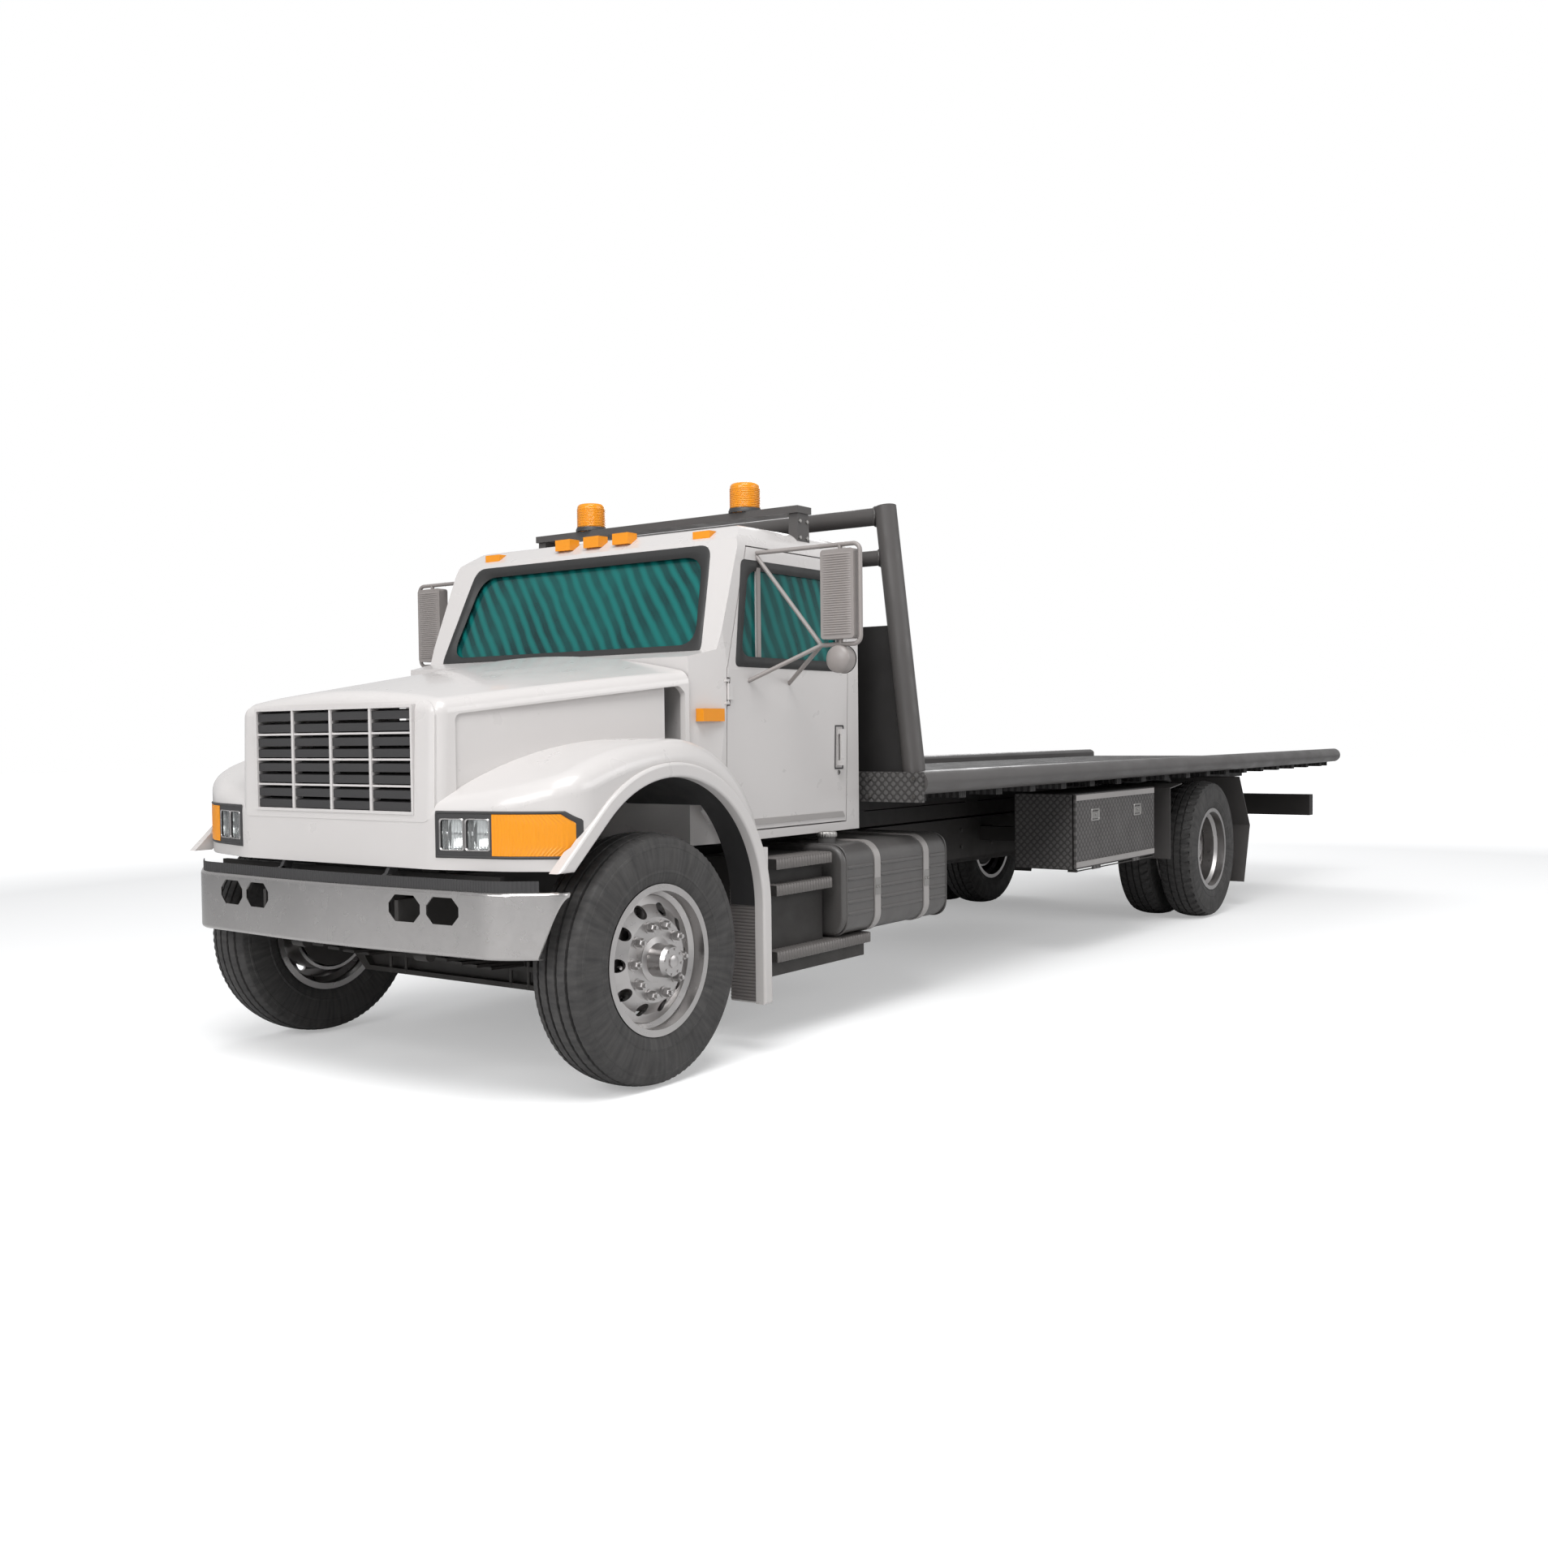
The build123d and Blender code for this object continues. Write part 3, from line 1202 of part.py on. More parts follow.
# Tilt frame and bed
def tilt_frame():
    end = [(hinge_x, tilt_frame_bottom), (tilt_frame_front_x, tilt_frame_bottom),
           (tilt_frame_front_x, tilt_frame_top), (hinge_x, tilt_frame_top)]
    rail = side_prism(end, tilt_frame_half - tilt_frame_width, tilt_frame_half)
    rail += cross_bar(hinge_x, hinge_z, tilt_frame_half - tilt_frame_width, tilt_frame_half,
                      tilt_frame_height / 2)
    rail -= cross_bar(hinge_x, hinge_z, tilt_frame_half - tilt_frame_width - 20, tilt_frame_half + 20,
                      hinge_pin_radius + seat_gap)
    frame = both_sides(rail)
    for offset in (-2110.0, -3600.0, -5100.0, -6500.0, -7900.0):
        x = fx(offset)
        frame += block(x - 40, x + 40, -tilt_frame_half + 10, tilt_frame_half - 10,
                       tilt_frame_bottom + 10, tilt_frame_top - 20)
    for offset in (-2600.0, -4000.0, -5400.0, -6800.0, -8200.0, -8900.0):
        x = fx(offset)
        pad = block(x - 90, x + 90, tilt_frame_half - tilt_frame_width, tilt_frame_half,
                    tilt_frame_top, tilt_frame_top + pad_height)
        frame += both_sides(pad)
    eye_x, eye_z = rod_eye
    outrigger = block(eye_x - 50, eye_x + 50, tilt_frame_half - 20, cylinder_y + eye_half + 18,
                      tilt_frame_bottom, tilt_frame_bottom + 50)
    ear = side_prism([(eye_x - 50, tilt_frame_bottom + 10), (eye_x + 50, tilt_frame_bottom + 10),
                      (eye_x + 30, eye_z - 34), (eye_x - 30, eye_z - 34)],
                     cylinder_y - eye_half - 18, cylinder_y - eye_half - 6)
    far_ear = Pos(0, 2 * eye_half + 24, 0) * ear
    pin = cross_bar(eye_x, eye_z, cylinder_y - eye_half - 18, cylinder_y + eye_half + 18,
                    cylinder_pin_radius)
    frame += both_sides(outrigger + ear + far_ear + pin)
    return frame


def bed_deck():
    # Floor plate carried by its cross members.
    deck = block(bed_tail_x + 25, bed_front_x - 20, -floor_half, floor_half, floor_bottom, floor_top)
    length = bed_front_x - bed_tail_x - 400
    for index in range(crossmember_count):
        x = bed_tail_x + 240 + length * index / (crossmember_count - 1)
        deck += block(x - 38, x + 38, -floor_half, floor_half, crossmember_bottom, floor_bottom)
    tail = block(bed_tail_x + 25, bed_tail_x + 40, -floor_half, floor_half, crossmember_bottom, floor_top)
    return deck + tail


def bed_sills():
    # Two long sills that slide on the tilt frame.
    sill = block(bed_tail_x + 190, bed_front_x - 20, tilt_frame_half - tilt_frame_width, tilt_frame_half,
                 sill_bottom, sill_bottom + sill_height)
    return both_sides(sill)


def bed_front_plate():
    return block(bed_front_x - 20, bed_front_x, -bed_half + 20, bed_half - 20,
                 crossmember_bottom, floor_top + 60)


def bed_rails():
    rail = tube_between((bed_tail_x, side_rail_y, side_rail_z), (bed_front_x - 20, side_rail_y, side_rail_z),
                        side_rail_radius)
    rail -= block(bed_tail_x - 1, bed_front_x + 1, 0, floor_half + seat_gap, 900, 1400)
    return both_sides(rail)


def headboard():
    # Two leaning pipe posts, two cross pipes and the plate between the posts.
    foot = (post_foot[0], post_foot[1], floor_top)
    head = (post_head[0], post_head[1], headboard_top + cross_pipe_radius)
    post = tube_between(foot, head, post_radius)
    top = cross_bar(post_head[0], headboard_top, -post_head[1], post_head[1], cross_pipe_radius)
    share = (headboard_mid_rail - floor_top) / (headboard_top - floor_top)
    mid_x = post_foot[0] + (post_head[0] - post_foot[0]) * share
    mid_y = post_foot[1] + (post_head[1] - post_foot[1]) * share
    middle = cross_bar(mid_x, headboard_mid_rail, -mid_y, mid_y, cross_pipe_radius - 6)
    plate_share = (headboard_plate_top - floor_top) / (headboard_top - floor_top)
    plate_y = post_foot[1] + (post_head[1] - post_foot[1]) * plate_share
    plate_x = post_foot[0] + (post_head[0] - post_foot[0]) * plate_share
    outline = [(-post_foot[1], floor_top), (post_foot[1], floor_top), (plate_y, headboard_plate_top),
               (-plate_y, headboard_plate_top)]
    tilt = math.degrees(math.atan2(plate_x - post_foot[0], headboard_plate_top - floor_top))
    plate = front_prism(outline, post_foot[0] - 5, post_foot[0] + 5)
    plate = plate.rotate(Axis((post_foot[0], 0, floor_top), (0, 1, 0)), tilt)
    board = both_sides(post) + top + middle + plate
    groove = tube_between((bed_tail_x, side_rail_y, side_rail_z), (bed_front_x, side_rail_y, side_rail_z),
                          side_rail_radius + seat_gap)
    board -= both_sides(groove)
    return board & block(fx(-2600), bed_front_x - 24, -1400, 1400, floor_top, 3000)


def winch_frame():
    x = fx(-2330)
    cheek = block(x - 130, x + 130, 210, 226, floor_top, floor_top + 320)
    tie = cross_bar(x - 95, floor_top + 60, -220, 220, 20)
    tie += cross_bar(x + 95, floor_top + 60, -220, 220, 20)
    motor = cross_bar(x, floor_top + 190, 226, 400, 78)
    axle = cross_bar(x, floor_top + 190, -220, 220, 22)
    return both_sides(cheek) + tie + motor + axle


def winch_drum():
    outline = [(22 + seat_gap, -198), (118, -198), (118, -186), (72, -184), (72, 184), (118, 186),
               (118, 198), (22 + seat_gap, 198)]
    return turned(outline, fx(-2330), 0, floor_top + 190)


# Tilt cylinders
def cylinder_frame():
    span = Vector(rod_eye[0] - barrel_base[0], 0, rod_eye[1] - barrel_base[1])
    return Vector(barrel_base[0], cylinder_y, barrel_base[1]), span.normalized(), span.length


def tilt_barrels():
    start, along, length = cylinder_frame()
    reach = length - eye_radius - 90
    body = tube_between(tuple(start + along * 30), tuple(start + along * reach), barrel_radius)
    body -= tube_between(tuple(start + along * 90), tuple(start + along * (reach + 5)), rod_radius + seat_gap)
    eye = cross_bar(start.X, start.Z, start.Y - eye_half, start.Y + eye_half, eye_radius)
    body += eye
    body -= cross_bar(start.X, start.Z, start.Y - 100, start.Y + 100, cylinder_pin_radius + seat_gap)
    return both_sides(body)


def tilt_rods():
    start, along, length = cylinder_frame()
    rod = tube_between(tuple(start + along * 150), tuple(start + along * (length - 20)), rod_radius)
    eye = cross_bar(rod_eye[0], rod_eye[1], start.Y - eye_half, start.Y + eye_half, eye_radius)
    rod += eye
    rod -= cross_bar(rod_eye[0], rod_eye[1], start.Y - 100, start.Y + 100, cylinder_pin_radius + eye_play)
    return both_sides(rod)


parts = {
    "chassis_frame": chassis_frame() + bumper_brackets(),
    "engine_and_radiator": [engine_block(), radiator()],
    "front_bumper": front_bumper(),
    "front_axle": front_axle(),
    "leaf_springs": leaf_springs(),
    "rear_axle": rear_axle(),
    "knuckle_left": knuckle(1),
    "knuckle_right": knuckle(-1),
    "tie_rod": tie_rod(),
    "hood": hood(),
    "wheel_liners": wheel_liners(),
    "grille": grille(),
    "grille_slats": grille_slats(),
    "lamp_housings": lamp_housings(),
    "headlamps": headlamps(),
    "turn_lamps": turn_lamps(),
    "cab_shell": cab_shell(),
    "cab_glass": cab_glass(),
    "dashboard": dashboard(),
    "seats": seats(),
    "seat_bases": seat_bases(),
    "marker_lamps": roof_lamps() + cowl_lamps(),
    "beacon_bar": beacon_bar(),
    "beacons": beacons(),
    "cab_steps": cab_steps(),
    "fuel_tank": fuel_tank(),
    "tank_straps": tank_straps(),
    "exhaust": exhaust(),
    "rear_mudguards": rear_mudguards(),
    "rear_beam": rear_beam(),
    "tail_lamps": tail_lamps(),
    "tilt_frame": tilt_frame(),
    "bed_deck": bed_deck(),
    "bed_sills": bed_sills(),
    "bed_front_plate": bed_front_plate(),
    "bed_rails": bed_rails(),
    "headboard": headboard(),
    "winch_frame": winch_frame(),
    "winch_drum": winch_drum(),
    "tilt_barrels": tilt_barrels(),
    "tilt_rods": tilt_rods(),
}
for side, name in ((1, "left"), (-1, "right")):
    parts["front_wheel_" + name] = front_wheel(side)
    parts["front_tyre_" + name] = tyre(front_axle_x, side * front_track_half, side)
    parts["rear_wheels_" + name] = rear_wheels(side)
    parts["rear_tyres_" + name] = (tyre(rear_axle_x, side * rear_outer_half, side)
                                   + tyre(rear_axle_x, side * rear_inner_half, side))
    parts["door_" + name] = door(side)
    parts["door_glass_" + name] = door_glass(side)
    parts["mirror_" + name] = mirror_set(side)
    parts["toolbox_" + name] = toolbox(side)
    parts["toolbox_door_" + name] = toolbox_door(side)

os.makedirs("parts", exist_ok=True)
for name, shape in parts.items():
    if isinstance(shape, list):
        shape = Compound(shape)
    export_step(shape, "parts/" + name + ".step")
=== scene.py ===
import json
import math

import bmesh
import bpy
import numpy as np
from mathutils import Matrix, Vector


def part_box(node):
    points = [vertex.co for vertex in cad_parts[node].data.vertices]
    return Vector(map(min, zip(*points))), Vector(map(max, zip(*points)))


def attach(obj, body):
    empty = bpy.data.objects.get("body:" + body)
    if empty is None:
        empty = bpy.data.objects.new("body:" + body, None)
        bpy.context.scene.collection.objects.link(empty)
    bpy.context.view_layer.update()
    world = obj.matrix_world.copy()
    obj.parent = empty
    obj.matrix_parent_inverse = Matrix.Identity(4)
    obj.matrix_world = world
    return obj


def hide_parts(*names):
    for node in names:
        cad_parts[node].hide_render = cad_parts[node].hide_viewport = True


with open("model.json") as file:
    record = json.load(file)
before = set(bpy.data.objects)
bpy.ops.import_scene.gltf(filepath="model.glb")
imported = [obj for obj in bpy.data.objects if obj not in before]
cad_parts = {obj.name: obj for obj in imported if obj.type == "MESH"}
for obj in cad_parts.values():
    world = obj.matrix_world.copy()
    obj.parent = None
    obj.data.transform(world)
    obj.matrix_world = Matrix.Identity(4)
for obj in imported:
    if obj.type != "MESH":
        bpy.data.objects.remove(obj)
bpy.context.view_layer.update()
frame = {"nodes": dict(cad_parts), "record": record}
nodes = frame["nodes"]
print("frame loaded,", len(nodes), "nodes")

# places that most pieces are worked out from, all in metres
tyreLow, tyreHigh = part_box("front_tyre_left")
axleX = (tyreLow.x + tyreHigh.x) / 2
axleZ = (tyreLow.z + tyreHigh.z) / 2
frontTyreY = (tyreLow.y + tyreHigh.y) / 2
rearLow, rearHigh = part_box("rear_tyres_left")
rearAxleX = (rearLow.x + rearHigh.x) / 2
tyreWidth = tyreHigh.y - tyreLow.y
rearOuterY = rearHigh.y - tyreWidth / 2
rearInnerY = rearLow.y + tyreWidth / 2
tyreRadius = (tyreHigh.z - tyreLow.z) / 2
bothSides = ((1, "left"), (-1, "right"))
outX, outY, outZ = np.eye(3)


# shapes as whole arrays
def unit(v):
    v = np.asarray(v, float)
    return v / np.maximum(np.linalg.norm(v, axis=-1, keepdims=True), 1e-12)


def turns(count):
    return np.linspace(0, 2 * math.pi, count, endpoint=False)


def shareGrid(rows, cols):
    return np.meshgrid(np.linspace(0, 1, rows), np.linspace(0, 1, cols), indexing="ij")


def between(low, high, share):
    return low + share * (high - low)


def ribWave(depth, count, share):
    # half waves side by side: depth times the absolute sine of count half turns
    return depth * np.abs(np.sin(math.pi * count * share))


def gridQuads(rows, cols, wrapRows, wrapCols):
    # quads between neighbouring rows and columns, closed round where wrapped
    r = np.arange(rows if wrapRows else rows - 1)
    c = np.arange(cols if wrapCols else cols - 1)
    i, j = np.meshgrid(r, c, indexing="ij")
    up, across = (i + 1) % rows, (j + 1) % cols
    return np.stack([i * cols + j, up * cols + j, up * cols + across, i * cols + across], -1).reshape(-1, 4)


def facedOut(points, faces):
    # volume = sum of the cones from the middle to each triangle of each face's fan;
    # where it is below nought, the faces are turned
    flat, total = points - points.mean(0), 0.0
    for size in set(len(f) for f in faces):
        f = np.array([q for q in faces if len(q) == size])
        for k in range(1, size - 1):
            total += np.einsum("ij,ij->", flat[f[:, 0]], np.cross(flat[f[:, k]], flat[f[:, k + 1]]))
    return points, [f[::-1] for f in faces] if total < 0 else faces


def shell(points, wrapRows=False, wrapCols=False, capEnds=False):
    # a grid of points as one surface, its first and last rows closed by a flat face where asked
    rows, cols = points.shape[:2]
    faces = gridQuads(rows, cols, wrapRows, wrapCols).tolist()
    if capEnds:
        faces.append(list(range(cols - 1, -1, -1)))
        faces.append(list(range((rows - 1) * cols, rows * cols)))
    return facedOut(points.reshape(-1, 3), faces)


def thickSheet(grid, offset):
    # a grid of points and the same grid moved by an offset, closed round the rim
    rows, cols = grid.shape[:2]
    count = rows * cols
    front = gridQuads(rows, cols, False, False)
    rim = np.concatenate([np.arange(cols), np.arange(1, rows) * cols + cols - 1,
                          (rows - 1) * cols + np.arange(cols - 2, -1, -1), np.arange(rows - 2, 0, -1) * cols])
    after = np.roll(rim, -1)
    ring = np.stack([rim, after, after + count, rim + count], -1)
    faces = np.concatenate([front, front[:, ::-1] + count, ring]).tolist()
    return facedOut(np.concatenate([grid.reshape(-1, 3), (grid + np.asarray(offset, float)).reshape(-1, 3)]),
                    faces)


def joined(shells):
    points, faces, start = [], [], 0
    for p, f in shells:
        points.append(p)
        faces += [[i + start for i in q] for q in f]
        start += len(p)
    return np.concatenate(points), faces


def onSide(made, side):
    # a left-hand shape as it is, or mirrored to the right with its faces turned back outwards
    points, faces = made
    return made if side > 0 else (points * np.array([1, -1, 1]), [f[::-1] for f in faces])


def tube(path, radius, sides=12, up=outZ, closed=False):
    # at each point of the path a circle square to its direction, cosine sideways and sine upwards
    path = np.asarray(path, float)
    along = unit(np.roll(path, -1, 0) - np.roll(path, 1, 0) if closed else np.gradient(path, axis=0))
    side = unit(np.cross(along, up))
    rise = np.cross(side, along)
    a = turns(sides)[:, None]
    points = path[:, None] + radius * np.cos(a) * side[:, None] + radius * np.sin(a) * rise[:, None]
    return shell(points, closed, True, not closed)


def cornerArcs(before, corner, after, radius, per):
    # a quadratic curve from one radius before each corner to one radius after it
    a, c = corner + unit(before - corner) * radius, corner + unit(after - corner) * radius
    t = np.linspace(0, 1, per)[None, :, None]
    arcs = (1 - t) ** 2 * a[:, None] + 2 * t * (1 - t) * corner[:, None] + t ** 2 * c[:, None]
    return arcs.reshape(-1, corner.shape[1])


def roundedLoop(corners, radius, per=8):
    corners = np.asarray(corners, float)
    return cornerArcs(np.roll(corners, 1, 0), corners, np.roll(corners, -1, 0), radius, per)


def roundedPath(points, radius, per=7):
    points = np.asarray(points, float)
    arcs = cornerArcs(points[:-2], points[1:-1], points[2:], radius, per)
    return np.concatenate([points[:1], arcs, points[-1:]])


def evenLoop(loop, count):
    # the same closed outline with its points at even distances along it
    loop = np.asarray(loop, float)
    closed = np.concatenate([loop, loop[:1]])
    run = np.concatenate([[0.0], np.cumsum(np.linalg.norm(np.diff(closed, axis=0), axis=1))])
    at = np.linspace(0, run[-1], count, endpoint=False)
    return np.stack([np.interp(at, run, closed[:, k]) for k in range(closed.shape[1])], -1)


def oblong(low, high, grow=0.0):
    # the four corners of a rectangle, moved out all round
    (a, b), (c, d) = low, high
    return np.array([(a - grow, b - grow), (c + grow, b - grow), (c + grow, d + grow), (a - grow, d + grow)])


def flatLoop(loop, across, level):
    # an outline on the two named axes, at a level of the third
    axes = ["XYZ".index(c) for c in across]
    points = np.zeros((len(loop), 3))
    points[:, axes[0]], points[:, axes[1]] = loop[:, 0], loop[:, 1]
    points[:, 3 - sum(axes)] = level
    return points


def rectangle(low, high, across, level, corner, grow=0.0):
    return flatLoop(roundedLoop(oblong(low, high, grow), corner, 5), across, level)


def revolved(profile, centre, segments=48, axis=outY, closedProfile=True):
    # each (radius, offset) turned round the axis through the centre
    profile = np.asarray(profile, float)
    axis = unit(axis)
    other = unit(np.cross(axis, (0.31, 0.17, 0.93)))
    third = np.cross(axis, other)
    a = turns(segments)[:, None, None]
    ring = np.cos(a) * other + np.sin(a) * third
    return shell(np.asarray(centre) + profile[None, :, :1] * ring + profile[None, :, 1:] * axis, True,
                 closedProfile)


def disc(centre, axis, radius, height, segments=32, soften=0.002):
    # a round plate with a softened outer edge
    profile = [(0, 0), (radius, 0), (radius, height - soften), (radius - soften, height), (0, height)]
    return revolved(profile, centre, segments, axis, False)


def capsule(start, end, radius, sides=14, steps=5):
    # a rod with half round ends: radius times sine and cosine of the turn at both ends
    start, end = np.asarray(start, float), np.asarray(end, float)
    length = np.linalg.norm(end - start)
    t = np.linspace(0, math.pi / 2, steps)
    low = np.stack([radius * np.sin(t), radius - radius * np.cos(t)], -1)
    high = np.stack([radius * np.cos(t), length - radius + radius * np.sin(t)], -1)
    return revolved(np.concatenate([low, high]), start, sides, end - start, False)


def boltHeads(centres, axis, radius, height, sides=6):
    # many hexagon heads: a low prism with a smaller top ring, standing along the axis
    centres = np.asarray(centres, float).reshape(-1, 3)
    axis = unit(axis)
    other = unit(np.cross(axis, (0.23, 0.41, 0.88)))
    a = turns(sides)[:, None]
    ring = np.cos(a) * other + np.sin(a) * np.cross(axis, other)
    levels = ((radius, 0.0), (radius, height * 0.8), (radius * 0.8, height))
    rows = np.stack([centres[:, None] + r * ring + h * axis for r, h in levels], 1)
    many = np.arange(len(centres))[:, None] * 3 * sides
    quads = (many[:, :, None] + gridQuads(3, sides, False, True)).reshape(-1, 4)[:, ::-1].tolist()
    tops = (many + 2 * sides + np.arange(sides)).tolist()
    bottoms = (many + np.arange(sides)[::-1]).tolist()
    return rows.reshape(-1, 3), quads + tops + bottoms


def bandBetween(inner, outer, height, normal, steps=6):
    # a raised band from one closed loop to the other, its height a half wave across
    normal = np.asarray(normal, float)
    t = np.linspace(0, 1, steps)
    lift = np.sin(math.pi * t) ** 0.6 * height
    top = ((1 - t)[None, :, None] * inner[:, None] + t[None, :, None] * outer[:, None]
           + lift[None, :, None] * normal)
    under = (outer[:, None] * 0.5 + inner[:, None] * 0.5) - 0.004 * normal
    return shell(np.concatenate([top, under], 1), True, True)


def slab(loop, normal, thick, soften=0.0012):
    # a closed outline raised along its normal, its top ring drawn in a little towards the middle
    normal = unit(normal)
    inward = unit(loop.mean(0) - loop) * soften
    return shell(np.stack([loop, loop + normal * (thick - soften), loop + inward + normal * thick]), False,
                 True, True)


def addPiece(name, made, finish, body, sharpDeg=35, uv=None, standsFor=None):
    points, faces = made
    mesh = bpy.data.meshes.new(name)
    mesh.from_pydata(points.tolist(), [], faces)
    if uv is not None:
        layer = mesh.uv_layers.new(name="UVMap")
        corner = np.zeros(len(mesh.loops), np.int32)
        mesh.loops.foreach_get("vertex_index", corner)
        layer.data.foreach_set("uv", np.asarray(uv, np.float32)[corner].ravel())
    # points that meet, as at a pole, become one
    work = bmesh.new()
    work.from_mesh(mesh)
    bmesh.ops.remove_doubles(work, verts=work.verts, dist=1e-6)
    work.to_mesh(mesh)
    work.free()
    mesh.validate()
    mesh.polygons.foreach_set("use_smooth", np.ones(len(mesh.polygons), bool))
    mesh.set_sharp_from_angle(angle=math.radians(sharpDeg))
    obj = bpy.data.objects.new(name, mesh)
    bpy.context.scene.collection.objects.link(obj)
    obj.data.materials.append(finish)
    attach(obj, body)
    if standsFor:
        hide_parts(standsFor)
    return obj


def addPair(name, made, finish, body, sharpDeg=35, standsFor=None):
    # one piece of a left-hand shape and its mirror image
    addPiece(name, joined([made, onSide(made, -1)]), finish, body, sharpDeg, standsFor=standsFor)


def addEachSide(name, made, finish, body, sharpDeg=35):
    # a piece for each side, on that side's own body
    for side, word in bothSides:
        addPiece(name + word, onSide(made, side), finish, body + word, sharpDeg)


# finishes
def fill(tree, node, inputs):
    # a number or colour is written on its socket, another node's output is linked to it
    for key, value in inputs.items():
        if isinstance(value, bpy.types.NodeSocket):
            tree.links.new(value, node.inputs[key])
        else:
            node.inputs[key].default_value = value


def addNode(tree, kind, inputs=None, **settings):
    node = tree.nodes.new("ShaderNode" + kind)
    for key, value in settings.items():
        setattr(node, key, value)
    fill(tree, node, inputs or {})
    return node


def newFinish(name):
    mat = bpy.data.materials.new(name)
    mat.use_nodes = True
    tree = mat.node_tree
    tree.nodes.clear()
    bsdf = addNode(tree, "BsdfPrincipled")
    addNode(tree, "OutputMaterial", {"Surface": bsdf.outputs["BSDF"]})
    return mat, tree, bsdf


def noiseNode(tree, scale, detail=4.0, stretch=(1, 1, 1), coords="Object"):
    place = addNode(tree, "TexCoord").outputs[coords]
    stretched = addNode(tree, "Mapping", {"Vector": place, "Scale": stretch}).outputs["Vector"]
    return addNode(tree, "TexNoise", {"Vector": stretched, "Scale": scale, "Detail": detail}).outputs["Fac"]


def ranged(tree, value, low, high, fromLow=0.3, fromHigh=0.7):
    return addNode(tree, "MapRange", {"Value": value, "From Min": fromLow, "From Max": fromHigh,
                                      "To Min": low, "To Max": high}).outputs["Result"]


def blended(tree, factor, first, second):
    # a mix of two colours, each a tuple or another node's output
    a, b = (c if isinstance(c, bpy.types.NodeSocket) else (*c, 1) for c in (first, second))
    return addNode(tree, "Mix", {"Factor": factor, "A": a, "B": b}, data_type="RGBA").outputs["Result"]


def bumpNode(tree, height, strength, distance, before=None):
    inputs = {"Height": height, "Strength": strength, "Distance": distance}
    if before is not None:
        inputs["Normal"] = before
    return addNode(tree, "Bump", inputs).outputs["Normal"]


def mathNode(tree, operation, a, b=0.5):
    return addNode(tree, "Math", {0: a, 1: b}, operation=operation).outputs[0]


def times(tree, a, b):
    return mathNode(tree, "MULTIPLY", a, b)


def plus(tree, a, b):
    return mathNode(tree, "ADD", a, b)


def coordParts(tree, coords="Object"):
    return addNode(tree, "SeparateXYZ", {0: addNode(tree, "TexCoord").outputs[coords]}).outputs


def surfaceFinish(name, base, worn, rough=(0.3, 0.45), metallic=0.0, coat=0.0, spec=0.5, cloud=1.4,
                  grain=90.0, grainDepth=0.0006, grainStrength=0.15, dust=None, stretch=(1, 1, 1)):
    # colour drifts between two tones, roughness with it, and a fine grain bends the light
    mat, tree, bsdf = newFinish(name)
    tone = blended(tree, ranged(tree, noiseNode(tree, cloud, 5.0, stretch), 0.0, 0.5), base, worn)
    if dust:
        # road dust, thicker towards the ground
        height = ranged(tree, coordParts(tree)["Z"], 1.0, 0.0, dust["low"], dust["high"])
        fine = ranged(tree, noiseNode(tree, 2.5, 3.0), 0.5, 1.0, 0.2, 0.8)
        tone = blended(tree, times(tree, times(tree, height, fine), dust["share"]), tone, dust["colour"])
    fill(tree, bsdf, {"Base Color": tone,
                      "Roughness": ranged(tree, noiseNode(tree, cloud * 7, 5.0, stretch), *rough),
                      "Metallic": metallic, "Specular IOR Level": spec, "Coat Weight": coat,
                      "Coat Roughness": 0.08,
                      "Normal": bumpNode(tree, noiseNode(tree, grain, 3.0, stretch), grainStrength,
                                         grainDepth)})
    return mat


roadDust = {"low": 0.20, "high": 1.15, "share": 0.30, "colour": (0.30, 0.28, 0.26)}
darkDust = {"low": 0.2, "high": 1.1, "share": 0.35, "colour": (0.12, 0.11, 0.10)}

whitePaint = surfaceFinish("white cab enamel", (0.54, 0.518, 0.508), (0.50, 0.48, 0.47), (0.26, 0.36),
                           coat=0.3,
                           cloud=0.9, grain=6.0, grainDepth=0.0004, grainStrength=0.05, dust=roadDust)
chassisPaint = surfaceFinish("chassis black", (0.017, 0.016, 0.016), (0.028, 0.026, 0.025), (0.45, 0.65),
                             spec=0.25, grain=160.0, dust=darkDust)
pipePaint = surfaceFinish("pipe grey enamel", (0.075, 0.070, 0.068), (0.048, 0.045, 0.044), (0.34, 0.5),
                          spec=0.4, grain=140.0, stretch=(0.4, 1, 1))
chrome = surfaceFinish("bumper chrome", (0.46, 0.445, 0.44), (0.38, 0.37, 0.365), (0.18, 0.30), metallic=1.0,
                       cloud=3.0, grain=6.0, grainDepth=0.0004, grainStrength=0.04, dust=roadDust)
wheelPolish = surfaceFinish("polished wheel", (0.44, 0.425, 0.42), (0.36, 0.35, 0.345), (0.26, 0.38),
                            metallic=1.0, cloud=4.0, grain=260.0, grainDepth=0.0002, grainStrength=0.1)
bareSteel = surfaceFinish("bare steel", (0.36, 0.35, 0.34), (0.22, 0.21, 0.20), (0.32, 0.5), metallic=1.0,
                          cloud=5.0)
castIron = surfaceFinish("cast iron", (0.06, 0.058, 0.056), (0.09, 0.08, 0.07), (0.6, 0.8), metallic=0.4,
                         grain=120.0, grainDepth=0.002, grainStrength=0.4)
mirrorGrey = surfaceFinish("mirror grey", (0.245, 0.222, 0.212), (0.19, 0.172, 0.165), (0.34, 0.5), coat=0.1)
treadGrey = surfaceFinish("step tread grey", (0.13, 0.12, 0.115), (0.085, 0.078, 0.075), (0.4, 0.6),
                          metallic=0.3)
